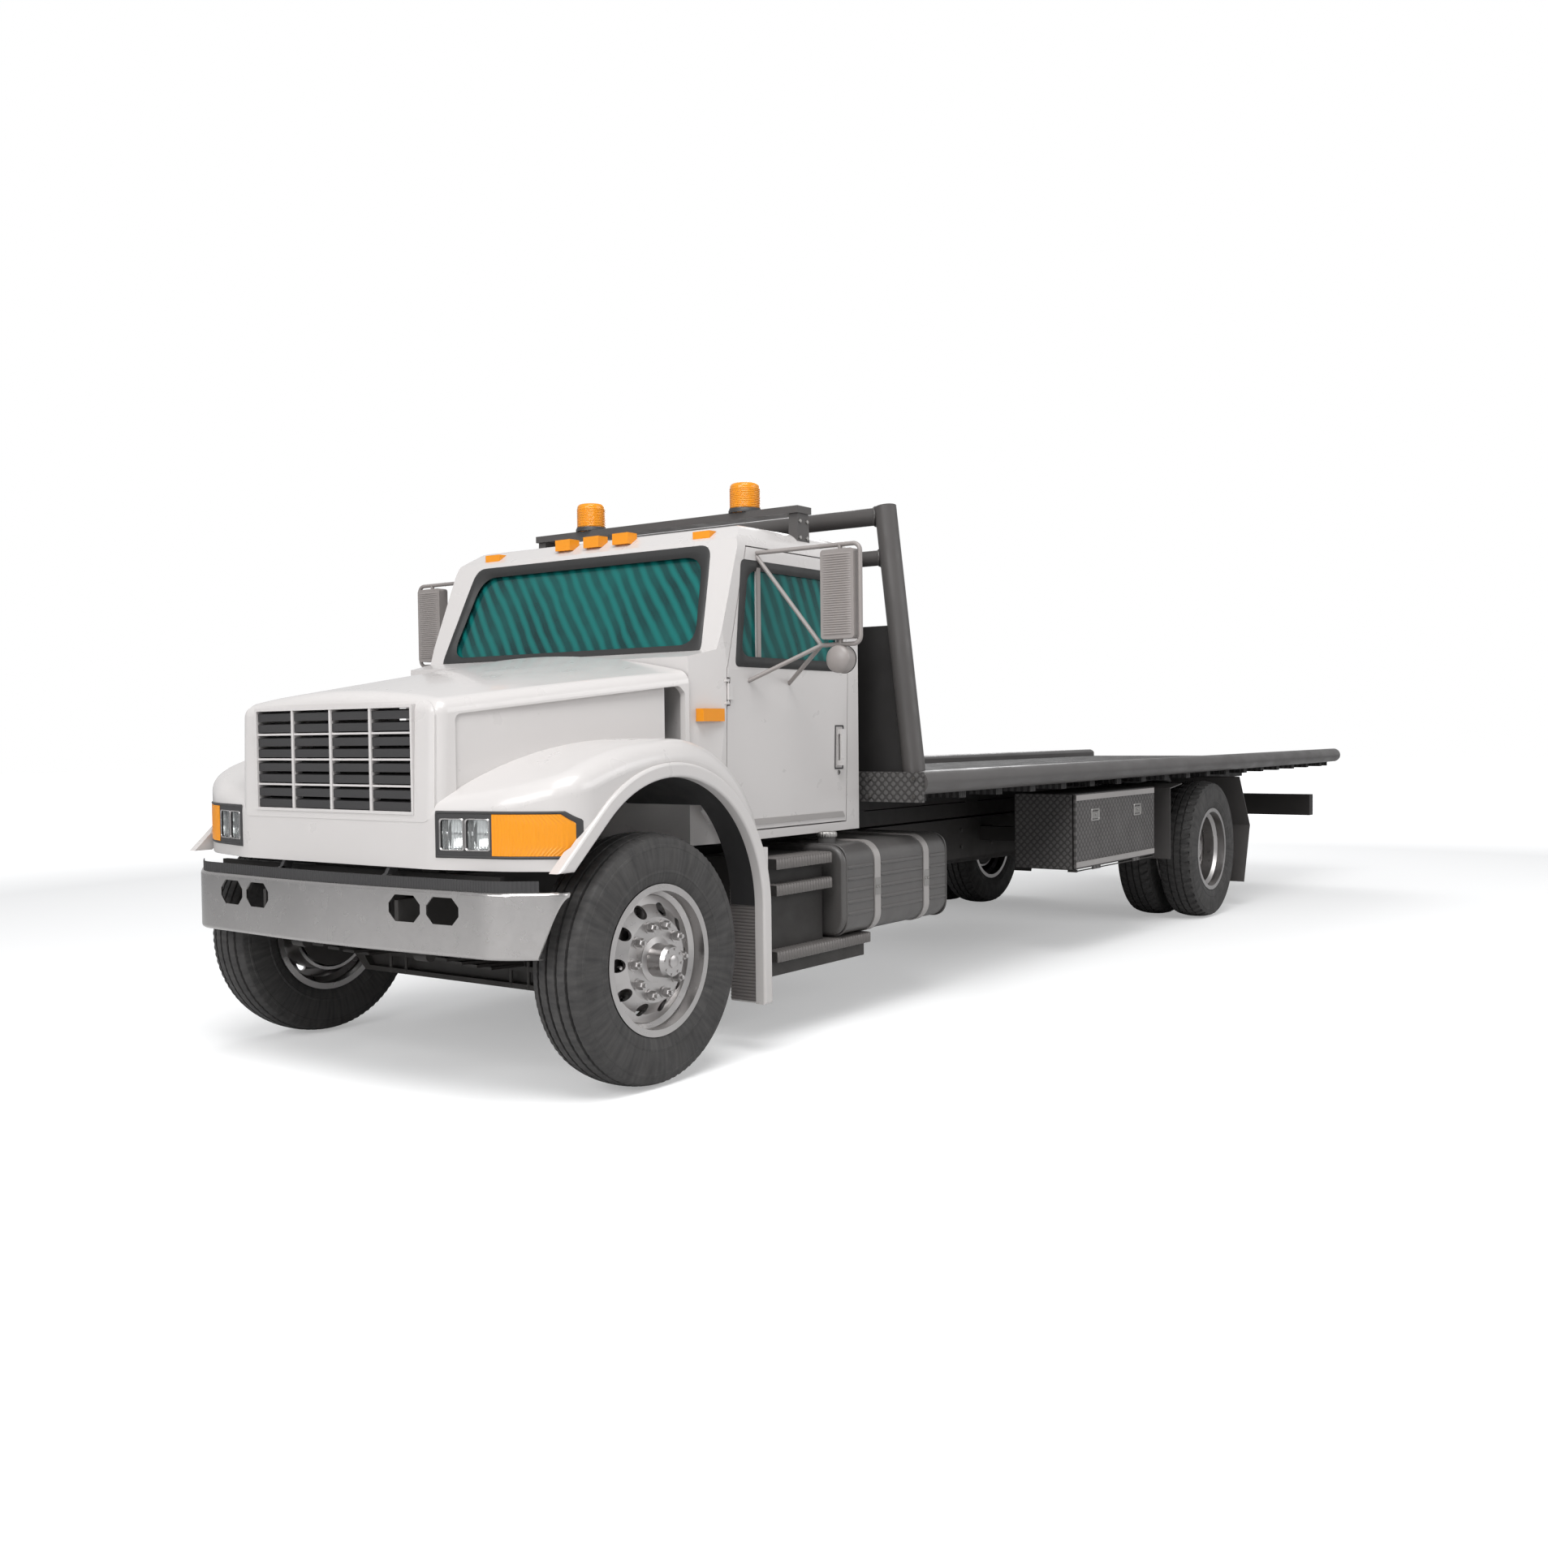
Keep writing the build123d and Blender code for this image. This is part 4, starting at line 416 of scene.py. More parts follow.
flapGrey = surfaceFinish("tail flap rubber", (0.17, 0.155, 0.15), (0.12, 0.11, 0.106), (0.55, 0.75), spec=0.3)
tubeGrey = surfaceFinish("bracket grey", (0.36, 0.34, 0.33), (0.26, 0.245, 0.24), metallic=0.3)
trimPlastic = surfaceFinish("black trim", (0.022, 0.021, 0.022), (0.035, 0.034, 0.034), (0.45, 0.6),
                            grain=420.0, grainStrength=0.3)
sealRubber = surfaceFinish("window rubber", (0.012, 0.012, 0.012), (0.022, 0.021, 0.021), (0.5, 0.65),
                           grain=300.0)
tankPaint = surfaceFinish("tank grey", (0.06, 0.057, 0.056), (0.09, 0.085, 0.083), (0.35, 0.5), coat=0.1,
                          dust=darkDust)
mirrorGlass = surfaceFinish("mirror face", (0.75, 0.77, 0.78), (0.70, 0.72, 0.73), (0.02, 0.05), metallic=1.0,
                            grain=10.0, grainStrength=0.01)
reflector = surfaceFinish("lamp reflector", (0.82, 0.82, 0.82), (0.75, 0.75, 0.75), (0.06, 0.14),
                          metallic=1.0)


def plateFinish(name, base, worn, pitch, across="XY", rough=(0.45, 0.65)):
    # checker plate: raised lozenges from two crossed waves, one for each slant
    mat, tree, bsdf = newFinish(name)
    parts = coordParts(tree)
    first, second = (parts[c] for c in across)
    waves = [mathNode(tree, "SINE", times(tree, mathNode(tree, slant, first, second), 2 * math.pi / pitch))
             for slant in ("ADD", "SUBTRACT")]
    raised = ranged(tree, mathNode(tree, "ABSOLUTE", times(tree, *waves)), 0.0, 1.0, 0.25, 0.55)
    tone = blended(tree, ranged(tree, noiseNode(tree, 1.8, 6.0), 0.0, 0.6), base, worn)
    tone = blended(tree, times(tree, raised, 0.55), tone, tuple(min(1, 2.6 * c + 0.02) for c in base))
    fill(tree, bsdf, {"Base Color": tone, "Roughness": ranged(tree, noiseNode(tree, 8.0), rough[1], rough[0]),
                      "Specular IOR Level": 0.2, "Normal": bumpNode(tree, raised, 0.7, 0.003)})
    return mat


deckPlate = plateFinish("bed checker plate", (0.026, 0.025, 0.025), (0.042, 0.040, 0.039), 0.085,
                        rough=(0.6, 0.8))
boxPlate = plateFinish("toolbox checker plate", (0.05, 0.047, 0.046), (0.085, 0.08, 0.078), 0.10, "XZ")
edgePlate = plateFinish("front edge plate", (0.045, 0.043, 0.042), (0.08, 0.075, 0.073), 0.09, "YZ")


def rubberFinish():
    # tread rubber: dark, with lighter scuffs that run radially on the side wall and across the tread
    mat, tree, bsdf = newFinish("tyre rubber")
    scuff = ranged(tree, noiseNode(tree, 3.0, 6.0, (40, 2.5, 1), "UV"), 0.0, 0.8)
    fine = mathNode(tree, "SINE", times(tree, coordParts(tree, "UV")["X"], 2 * math.pi * 120))
    grain = bumpNode(tree, noiseNode(tree, 180.0), 0.25, 0.001)
    fill(tree, bsdf, {"Base Color": blended(tree, scuff, (0.022, 0.021, 0.021), (0.055, 0.052, 0.05)),
                      "Roughness": ranged(tree, noiseNode(tree, 14.0), 0.62, 0.85),
                      "Normal": bumpNode(tree, fine, 0.12, 0.0015, grain)})
    return mat


def headboardFinish():
    # the posts and cross pipes in grey enamel, the plate between the posts darker
    mat, tree, bsdf = newFinish("headboard")
    parts = coordParts(tree)
    postY = mathNode(tree, "SUBTRACT", 1.110,
                     times(tree, mathNode(tree, "SUBTRACT", parts["Z"], 1.1495), 0.1553))
    inside = mathNode(tree, "LESS_THAN", mathNode(tree, "ABSOLUTE", parts["Y"]), postY)
    plate = times(tree, inside, mathNode(tree, "LESS_THAN", parts["Z"], 1.967))
    cloud = ranged(tree, noiseNode(tree, 1.4, 5.0), 0.0, 0.5)
    tone = blended(tree, plate, blended(tree, cloud, (0.075, 0.070, 0.068), (0.048, 0.045, 0.044)),
                   blended(tree, cloud, (0.018, 0.017, 0.017), (0.026, 0.024, 0.023)))
    fill(tree, bsdf, {"Base Color": tone, "Roughness": ranged(tree, noiseNode(tree, 9.0), 0.36, 0.55),
                      "Specular IOR Level": 0.3,
                      "Normal": bumpNode(tree, noiseNode(tree, 140.0, 3.0), 0.15, 0.0006)})
    return mat


def reflectionStreakedGlass():
    # tinted glass with painted reflections: slanting darker streaks across the teal; it lets a little of the
    # cab show through
    mat, tree, bsdf = newFinish("teal glass")
    parts = coordParts(tree)
    slant = plus(tree, mathNode(tree, "SUBTRACT", parts["Y"], parts["X"]), times(tree, parts["Z"], 0.5))
    warp = times(tree, noiseNode(tree, 2.0, 3.0), 0.10)
    band = mathNode(tree, "SINE", times(tree, plus(tree, slant, warp), 2 * math.pi / 0.09))
    # painted reflection: slanting bands, bent by noise, that darken the teal tint
    paintedReflection = times(tree, ranged(tree, band, 0.0, 1.0, -0.9, 0.5),
                   ranged(tree, noiseNode(tree, 2.2, 4.0), 0.4, 1.0))
    fill(tree, bsdf, {"Base Color": blended(tree, paintedReflection, (0.008, 0.170, 0.158), (0.006, 0.032, 0.034)),
                      "Roughness": ranged(tree, noiseNode(tree, 5.0), 0.05, 0.12),
                      "Transmission Weight": 0.3, "Specular IOR Level": 0.3, "IOR": 1.4})
    return mat


def lensFinish(name, colour, through, rough=0.04):
    mat, tree, bsdf = newFinish(name)
    tone = blended(tree, ranged(tree, noiseNode(tree, 1.1, 2.0), 0.0, 0.5), colour,
                   tuple(c * 0.8 for c in colour))
    fill(tree, bsdf, {"Base Color": tone, "Roughness": ranged(tree, noiseNode(tree, 5.0), rough, rough * 2),
                      "Transmission Weight": through, "Specular IOR Level": 0.4, "IOR": 1.45})
    return mat


def fabricFinish():
    # woven seat cloth: two crossed fine waves over a mottled tone
    mat, tree, bsdf = newFinish("seat cloth")
    parts = coordParts(tree)
    weave = times(tree, *(mathNode(tree, "SINE", times(tree, way, 2 * math.pi / 0.006))
                          for way in (parts["Y"], plus(tree, parts["X"], parts["Z"]))))
    tone = blended(tree, ranged(tree, noiseNode(tree, 60.0, 6.0), 0.0, 0.9), (0.10, 0.10, 0.11),
                   (0.17, 0.17, 0.18))
    fill(tree, bsdf, {"Base Color": tone, "Roughness": 0.85, "Sheen Weight": 0.3,
                      "Normal": bumpNode(tree, weave, 0.4, 0.001)})
    return mat


tyreRubber, headboardPaint = rubberFinish(), headboardFinish()
tealGlass, seatCloth = reflectionStreakedGlass(), fabricFinish()
clearLens = lensFinish("clear lamp lens", (0.86, 0.88, 0.88), 0.9)
amberLens = lensFinish("amber lens", (0.95, 0.36, 0.02), 0.25, 0.12)
redLens = lensFinish("red lens", (0.55, 0.015, 0.012), 0.25, 0.12)

slotFinish = {
    "white_paint": whitePaint, "black_paint": chassisPaint, "grey_pipe": pipePaint, "bed_plate": deckPlate,
    "polished": chrome, "wheel_alloy": wheelPolish, "raw_steel": bareSteel, "cast_iron": castIron,
    "tyre": tyreRubber, "dark_plastic": trimPlastic, "grey_mirror": mirrorGrey, "teal_glass": tealGlass,
    "lamp_glass": clearLens, "amber_lens": amberLens, "red_lens": redLens, "seat_fabric": seatCloth,
    "rubber": sealRubber,
}
nodeFinish = {"fuel_tank": tankPaint, "toolbox_door_left": boxPlate, "toolbox_door_right": boxPlate,
              "bed_front_plate": edgePlate, "tank_straps": tubeGrey, "headboard": headboardPaint}
slotOf = {part["node"]: part["material_slot"] for part in frame["record"]["subparts"]}
for node, obj in nodes.items():
    obj.data.materials.clear()
    obj.data.materials.append(nodeFinish.get(node) or slotFinish[slotOf[node]])
print("finishes set")

# tyres
frontTread = {"grooves": (-0.072, -0.025, 0.025, 0.072), "grooveHalf": 0.0065, "depth": 0.013,
              "halfWidth": 0.108, "notches": 90, "notchDepth": 0.003, "segments": 360}
rearTread = {"grooves": (-0.05, 0.0, 0.05), "grooveHalf": 0.006, "depth": 0.016, "halfWidth": 0.108,
             "notches": 46, "notchDepth": 0.013, "segments": 460}
# (radius, offset) of the side wall from bead to shoulder, close to the solid's own outline
sideWall = np.array([(0.2873, 0.1045), (0.300, 0.1045), (0.3063, 0.1048), (0.3085, 0.1095), (0.318, 0.1165),
                     (0.332, 0.1212), (0.350, 0.1245), (0.352, 0.1262), (0.360, 0.1262), (0.362, 0.1252),
                     (0.385, tyreWidth / 2), (0.405, tyreWidth / 2), (0.430, 0.1256), (0.452, 0.1225),
                     (0.454, 0.1235), (0.463, 0.1215), (0.465, 0.1195), (0.478, 0.1165), (0.488, 0.1130)])


def tyreShell(tread, y, x, outward):
    # rows run round the wheel and columns from bead to bead; a groove lowers the tread by its depth
    half, reach = tread["grooveHalf"], tread["halfWidth"]
    across = np.concatenate([g + half * np.array([-1, -0.7, 0.7, 1]) for g in tread["grooves"]])
    across = np.unique(np.concatenate([across, np.linspace(-reach, reach, 15)]))[::-1]
    crown = tyreRadius - 0.016 * (np.abs(across) / reach) ** 2.4
    inGroove = np.min(np.abs(across[:, None] - np.array(tread["grooves"])[None]), 1) < half * 0.8
    radius = np.concatenate([sideWall[:, 0], crown - inGroove * tread["depth"], sideWall[::-1, 0],
                             [0.470, 0.470]])
    offset = np.concatenate([sideWall[:, 1], across, -sideWall[::-1, 1], [-0.09, 0.09]])
    onTread = np.concatenate([np.zeros(len(sideWall)), ~inGroove, np.zeros(len(sideWall) + 2)])
    # notches = where a slanting sine round the tread is high, deeper towards the shoulders
    turn = turns(tread["segments"])[:, None]
    slant = turn + 0.9 * np.abs(offset) * onTread
    edge = np.clip(np.abs(offset) / reach, 0, 1) ** 2
    notch = (np.sin(slant * tread["notches"]) > 0.45) * onTread * tread["notchDepth"]
    grow = radius - notch * (0.35 + 0.65 * edge)
    points = np.stack(np.broadcast_arrays(x + grow * np.sin(turn), y + outward * offset,
                                          axleZ + grow * np.cos(turn)), -1)
    wrap = np.arange(len(radius)) / len(radius)
    uv = np.stack(np.broadcast_arrays(turn / (2 * math.pi), wrap), -1)
    return shell(points, True, True), uv.reshape(-1, 2)


for side, word in bothSides:
    made, uv = tyreShell(frontTread, side * frontTyreY, axleX, side)
    addPiece("ribbed_tyre_" + word, made, tyreRubber, "wheel_front_" + word, 28, uv,
             "front_tyre_" + word)
    pair = [tyreShell(rearTread, side * y, rearAxleX, side) for y in (rearOuterY, rearInnerY)]
    addPiece("lugged_tyres_" + word, joined([made for made, uv in pair]), tyreRubber, "wheel_rear_" + word,
             28, np.concatenate([uv for made, uv in pair]), "rear_tyres_" + word)
print("tyres made")

# wheel nuts, hub caps and valve stems
wheelTrim = {"nutCircle": 0.143, "nuts": 10, "nutRadius": 0.019, "nutHeight": 0.030, "capBolts": 8,
             "capCircle": 0.050}


def ringPoints(x, y, z, radius, count, start=0.0):
    a = turns(count) + start
    return np.stack([x + radius * np.cos(a), np.full(count, y), z + radius * np.sin(a)], -1)


def wheelFittings(x, faceY, capY, side):
    y, out, height = side * faceY, side * outY, wheelTrim["nutHeight"]

    def nutRing(off):
        return ringPoints(x, y + side * off, axleZ, wheelTrim["nutCircle"], wheelTrim["nuts"])

    washer = [(0.0, 0.0), (0.024, 0.0), (0.024, 0.004), (0.0, 0.006)]
    stud = [(0.0, 0.0), (0.009, 0.0), (0.009, 0.012), (0.006, 0.014), (0.0, 0.014)]
    plug = [(0.0, 0.0), (0.026, 0.0), (0.026, 0.005), (0.018, 0.009), (0.0, 0.011)]
    stem = [(x + 0.215, y - side * 0.012, axleZ), (x + 0.222, y + side * 0.01, axleZ),
            (x + 0.245, y + side * 0.03, axleZ)]
    capRing = ringPoints(x, side * capY, axleZ, wheelTrim["capCircle"], wheelTrim["capBolts"], 0.2)
    return joined([revolved(washer, p, 20, out, False) for p in nutRing(0)]
                  + [boltHeads(nutRing(0.004), out, wheelTrim["nutRadius"], height)]
                  + [revolved(stud, p, 14, out, False) for p in nutRing(0.004 + height)]
                  + [boltHeads(capRing, out, 0.006, 0.005), tube(stem, 0.005, 8),
                     revolved(plug, (x, side * capY, axleZ), 28, out, False)])


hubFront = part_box("front_wheel_left")[1].y
rearMiddle = (rearOuterY + rearInnerY) / 2
for side, word in bothSides:
    addPiece("front_wheel_nuts_" + word, wheelFittings(axleX, frontTyreY + 0.088, hubFront - 0.0005, side),
             wheelPolish, "wheel_front_" + word, 30)
    addPiece("rear_wheel_nuts_" + word,
             wheelFittings(rearAxleX, rearMiddle + 0.014, rearMiddle + 0.1675, side),
             wheelPolish, "wheel_rear_" + word, 30)
print("wheels trimmed")

# cab: window rubbers
screen = {"low": (axleX - 0.668, 1.780), "high": (axleX - 0.852, 2.262), "lowHalf": 0.832, "highHalf": 0.757,
          "rings": ((-0.034, 0.10), (0.030, 0.05)), "height": 0.016}
sideWindow = {"corners": oblong((axleX - 1.640, 1.735), (axleX - 0.800, 2.182)), "topFront": axleX - 0.880,
              "rings": ((-0.026, 0.07), (0.022, 0.03)), "height": 0.010}
rearWindow = {"half": 0.56, "low": 1.75, "high": 2.17, "rings": ((-0.024, 0.07), (0.022, 0.03)),
              "height": 0.010}


def windowLoop(lowHalf, highHalf, low, high, grow, radius):
    # outline of a pane that may be narrower at its top, grown all round and rounded at its corners
    return roundedLoop([(-lowHalf - grow, low - grow), (lowHalf + grow, low - grow),
                        (highHalf + grow, high + grow), (-highHalf - grow, high + grow)], radius)


def cabSide(z):
    # half width of the cab's skin at a height: upright below, leaning in above the sill
    z = np.asarray(z, float)
    return np.where(z < 1.7, 0.950 - 0.018 * (1.7 - z) / 0.775, 0.950 - 0.026 * (z - 1.7) / 0.59)


def screenRubber():
    # the windscreen's plane: x = its foot plus the lean times the height above the foot
    (footX, footZ), (topX, topZ) = screen["low"], screen["high"]
    lean = (topX - footX) / (topZ - footZ)
    normal = unit((1.0, 0.0, -lean))
    loops = [windowLoop(screen["lowHalf"], screen["highHalf"], footZ, topZ, *ring)
             for ring in screen["rings"]]
    rings = [flatLoop(loop, "YZ", footX + (loop[:, 1] - footZ) * lean) + 0.001 * normal for loop in loops]
    return bandBetween(*rings, screen["height"], normal)


def sideRubber():
    # the pane's corners moved away from its middle, laid on the cab's skin
    corners = sideWindow["corners"][[1, 2, 3, 0]]
    corners[1, 0] = sideWindow["topFront"]
    away = np.sign(corners - corners.mean(0))
    loops = [roundedLoop(corners + away * grow, radius) for grow, radius in sideWindow["rings"]]
    return bandBetween(*(flatLoop(loop, "XZ", cabSide(loop[:, 1]) + 0.001) for loop in loops),
                       sideWindow["height"], outY)


def rearRubber():
    half, low, high = (rearWindow[k] for k in ("half", "low", "high"))
    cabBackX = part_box("cab_shell")[0].x
    return bandBetween(*(flatLoop(windowLoop(half, half, low, high, *ring), "YZ", cabBackX - 0.001)
                         for ring in rearWindow["rings"]), rearWindow["height"], -outX)


addPiece("windscreen_rubber", screenRubber(), sealRubber, "chassis")
for side, word in bothSides:
    addPiece("door_window_rubber_" + word, onSide(sideRubber(), side), sealRubber, "door_" + word)
addPiece("rear_window_rubber", rearRubber(), sealRubber, "chassis")
print("window rubbers made")

# lamps: one line for the fenders' front seen from above, for what sits on their face
frontLine = roundedPath([(axleX + 0.690, 0.0), (axleX + 0.690, 0.600), (axleX + 0.610, 0.930),
                         (axleX + 0.480, 1.155), (axleX + 0.100, 1.155)],
                        np.array([[0.0478], [0.0576], [0.104]]), 12)
lampGroup = {"inner": 0.625, "outer": 1.136, "low": 0.962, "high": 1.120, "clip": 0.034, "divide": 0.862,
             "width": 0.011, "height": 0.006, "points": 180}
headlamp = {"cells": ((0.639, 0.7365), (0.7505, 0.848)), "low": 0.984, "high": 1.098, "face": -0.004,
            "flutes": 7, "fluteDepth": 0.002, "thick": 0.034, "bowlDepth": 0.030, "bulbRadius": 0.010}
turnLamp = {"face": 0.0045, "ribs": 19, "ribDepth": 0.0018, "thick": 0.034, "gap": 0.0008}


def onFender(y, z, off=0.0):
    return np.stack(np.broadcast_arrays(np.interp(y, frontLine[:, 1], frontLine[:, 0]) + off, y, z), -1)


def lampOutline(grow):
    inner, outer = lampGroup["inner"] - grow, lampGroup["outer"] + grow
    low, high, clip = lampGroup["low"] - grow, lampGroup["high"] + grow, lampGroup["clip"]
    corners = [(inner, low), (outer - clip, low), (outer, low + clip), (outer, high - clip),
               (outer - clip, high), (inner, high)]
    return onFender(*evenLoop(corners, lampGroup["points"]).T)


def flutedLens(lowY, highY):
    # front face = fender line less the part of a half wave that each flute leaves
    s, t = shareGrid(71, 9)
    wave = headlamp["fluteDepth"] - ribWave(headlamp["fluteDepth"], headlamp["flutes"], s)
    y = between(lowY + 0.0005, highY - 0.0005, s)
    z = between(headlamp["low"] + 0.0005, headlamp["high"] - 0.0005, t)
    return thickSheet(onFender(y, z, headlamp["face"] - wave), (-headlamp["thick"], 0, 0))


def reflectorBowl(lowY, highY):
    # depth = full at the middle, less by half the squared distance from it
    low, high, back = headlamp["low"], headlamp["high"], headlamp["thick"] + 0.010
    u, v = (2 * share - 1 for share in shareGrid(17, 17))
    y = (lowY + highY) / 2 + u * (highY - lowY - 0.003) / 2
    z = (low + high) / 2 + v * (high - low - 0.003) / 2
    depth = back + headlamp["bowlDepth"] * (1 - (u ** 2 + v ** 2) / 2)
    bowl = thickSheet(onFender(y, z, headlamp["face"] - depth), (-0.002, 0, 0))
    middle = onFender((lowY + highY) / 2, (low + high) / 2, headlamp["face"] - back - headlamp["bowlDepth"])
    return joined([bowl, capsule(middle, middle + 0.030 * outX, headlamp["bulbRadius"])])


def cellRim(lowY, highY):
    loops = [evenLoop(roundedLoop(oblong((lowY, headlamp["low"]), (highY, headlamp["high"]), g), 0.012), 72)
             for g in (-0.001, 0.0055)]
    return bandBetween(*(onFender(*loop.T, 0.003) for loop in loops), 0.0035, outX)


def ribbedTurnLens():
    # the outer end follows the clipped corners, and the face carries a wave of upright ribs
    gap, clip = turnLamp["gap"], lampGroup["clip"]
    low, high, start = lampGroup["low"] + gap, lampGroup["high"] - gap, lampGroup["divide"]
    s, t = shareGrid(153, 25)
    z = between(low, high, t)
    end = lampGroup["outer"] - gap - clip + np.minimum(clip, np.minimum(z - low, high - z))
    rib = ribWave(turnLamp["ribDepth"], turnLamp["ribs"], s)
    return thickSheet(onFender(start + gap + s * (end - start), z, turnLamp["face"] - rib),
                      (-turnLamp["thick"], 0, 0))


def inCells(maker):
    return joined([maker(*cell) for cell in headlamp["cells"]])


bezel = bandBetween(lampOutline(-0.001), lampOutline(lampGroup["width"]), lampGroup["height"], outX)
addPair("lamp_bezels", bezel, trimPlastic, "hood")
addPair("headlamp_rims", inCells(cellRim), chrome, "hood")
addPair("headlamp_reflectors", inCells(reflectorBowl), reflector, "hood")
addPair("fluted_headlamps", inCells(flutedLens), clearLens, "hood", 50, "headlamps")
addPair("ribbed_turn_lamps", ribbedTurnLens(), amberLens, "hood", 50, "turn_lamps")
print("lamps made")

# front: dark splash strip on the bumper, sleeves on the hood's arms, rubber facing on the fenders' tails
bumperLine = roundedPath([(axleX + 0.250, -1.140), (axleX + 0.545, -1.140), (axleX + 0.692, -0.925),
                          (axleX + 0.7535, 0.0), (axleX + 0.692, 0.925), (axleX + 0.545, 1.140),
                          (axleX + 0.250, 1.140)],
                         np.array([[0.0475], [0.0657], [0.3986], [0.0657], [0.0475]]), 12)
splash = {"reach": 1.060, "low": 0.8315, "high": 0.874, "inset": 0.013, "thick": 0.003, "pitch": 0.014,
          "wave": 0.0016}
hoodArm = {"outline": ((0.656, 0.856), (0.701, 0.872), (0.678, 0.910), (0.678, 1.001), (0.638, 1.001),
                       (0.638, 0.908)),
           "eye": (0.695, 0.862), "eyeRadius": 0.0175, "low": 0.3245, "wide": 0.019}
tail = {"x": -0.692, "low": (0.972, 0.232), "high": (1.149, 0.890), "ribs": 44, "wave": 0.0035}


def splashStrip():
    # a standing strip that follows the bumper's line, its face a fine wave of upright ribs
    count = int(2 * splash["reach"] / splash["pitch"])
    s, t = shareGrid(6 * count + 1, 3)
    y = between(-splash["reach"], splash["reach"], s)
    x = np.interp(y, bumperLine[:, 1], bumperLine[:, 0]) - splash["inset"] - ribWave(splash["wave"], count, s)
    return thickSheet(np.stack([x, y, between(splash["low"], splash["high"], t)], -1),
                      (-splash["thick"], 0, 0))


def armSleeve():
    loop = flatLoop(np.array(hoodArm["outline"]) + (axleX, 0), "XZ", hoodArm["low"])
    eye = (axleX + hoodArm["eye"][0], hoodArm["low"], hoodArm["eye"][1])
    return joined([slab(loop, outY, hoodArm["wide"]), disc(eye, outY, hoodArm["eyeRadius"], hoodArm["wide"])])


def ribbedSheet(face, low, high, cells, depth, count, along, back):
    # an upright sheet across the truck, its face x moved by half waves that run along y or z
    s, t = shareGrid(*cells)
    x = face + ribWave(depth, count, (s, t)[along])
    return thickSheet(np.stack([x, between(low[0], high[0], s), between(low[1], high[1], t)], -1),
                      (back, 0, 0))


tailFacing = ribbedSheet(axleX + tail["x"] + 0.0006, tail["low"], tail["high"], (5, 8 * tail["ribs"] + 1),
                         tail["wave"], tail["ribs"], 1, -0.003)
addPiece("splash_strip", splashStrip(), trimPlastic, "chassis", 60)
addPair("hood_arm_sleeves", armSleeve(), trimPlastic, "hood")
addPair("fender_tail_facings", tailFacing, flapGrey, "hood", 60)
print("front trim made")

# beacons: dark bases, ribbed lenses and the light bar's bolts
beacon = {"place": (axleX - 1.440, 0.520, 2.5123), "height": 0.148, "radius": 0.074, "rings": 11}


def beaconRings():
    # radius = the lens's own plus half a millimetre and a low wave up its height
    share = np.linspace(0, 1, 8 * beacon["rings"] + 1)
    radius, height = beacon["radius"], between(0.17, 0.83, share) * beacon["height"]
    outside = np.stack([radius + 0.0004 + ribWave(0.0022, beacon["rings"], share), height], -1)
    inside = [(radius - 0.003, height[-1]), (radius - 0.003, height[0])]
    return revolved(np.concatenate([outside, inside]), beacon["place"], 64, outZ)


def beaconBase():
    r = beacon["radius"]
    foot = revolved([(r - 0.004, 0.0), (r + 0.009, 0.0), (r + 0.009, 0.012), (r + 0.005, 0.017),
                     (r + 0.005, 0.022), (r - 0.004, 0.022)], beacon["place"], 56, outZ)
    return joined([foot, boltHeads([beacon["place"] + way * (r + 0.018) * outY for way in (1, -1)], outZ,
                                   0.007, 0.006)])


addPair("beacon_rings", beaconRings(), amberLens, "chassis", 50)
addPair("beacon_bases", beaconBase(), trimPlastic, "chassis", 50)
barBolts = boltHeads([(axleX - 1.440 + dx, 0.872, z) for dx in (-0.03, 0.03) for z in (2.44, 2.36)], outY,
                     0.010, 0.008)
addPair("beacon_bar_bolts", barBolts, bareSteel, "chassis")

# mirrors: pressed ribs on the head's front, rim and glass on its back, glass on the round mirror
mirror = {"x": axleX - 1.040, "y": 1.345, "half": 0.088, "low": 1.830, "high": 2.228, "deep": 0.030,
          "ribs": 34, "ribDepth": 0.0035, "rim": 0.010, "roundZ": 1.740, "roundRadius": 0.062}
mirrorBox = ((mirror["y"] - mirror["half"], mirror["low"]), (mirror["y"] + mirror["half"], mirror["high"]))


def roundPart(profile, off, way, segments=56, closed=False):
    # a part of the round mirror, turned about its own axis
    return revolved(profile, (mirror["x"] + off, mirror["y"], mirror["roundZ"]), segments, way * outX, closed)


def mirrorFront():
    # front face = half waves up the head that die out towards both sides; below it the round mirror's bowl
    s, t = shareGrid(15, 8 * mirror["ribs"] + 1)
    y = 2 * s - 1
    wave = ribWave(mirror["ribDepth"], mirror["ribs"], t) * (1 - y ** 8) + 0.0006
    head = thickSheet(np.stack([mirror["x"] + mirror["deep"] + wave,
                                mirror["y"] + y * (mirror["half"] - 0.014),
                                between(mirror["low"] + 0.018, mirror["high"] - 0.018, t)], -1),
                      (-0.003, 0, 0))
    r, a = mirror["roundRadius"], np.linspace(0, math.pi / 2, 8)
    bowl = np.stack([r * np.cos(a), 0.026 * np.sin(a)], -1)
    return joined([head, roundPart(np.concatenate([[(0.0, -0.001), (r, -0.001)], bowl]), 0.024, 1)])


def mirrorRims():
    r, level = mirror["roundRadius"], mirror["x"] - mirror["deep"] + 0.001
    loops = [rectangle(*mirrorBox, "YZ", level, 0.016, -g) for g in (mirror["rim"], 0.002)]
    ring = [(r - 0.008, 0.0), (r + 0.0015, 0.0), (r + 0.0015, 0.005), (r - 0.003, 0.008), (r - 0.008, 0.006)]
    return joined([bandBetween(*loops, 0.005, -outX), roundPart(ring, -0.0245, -1, closed=True)])


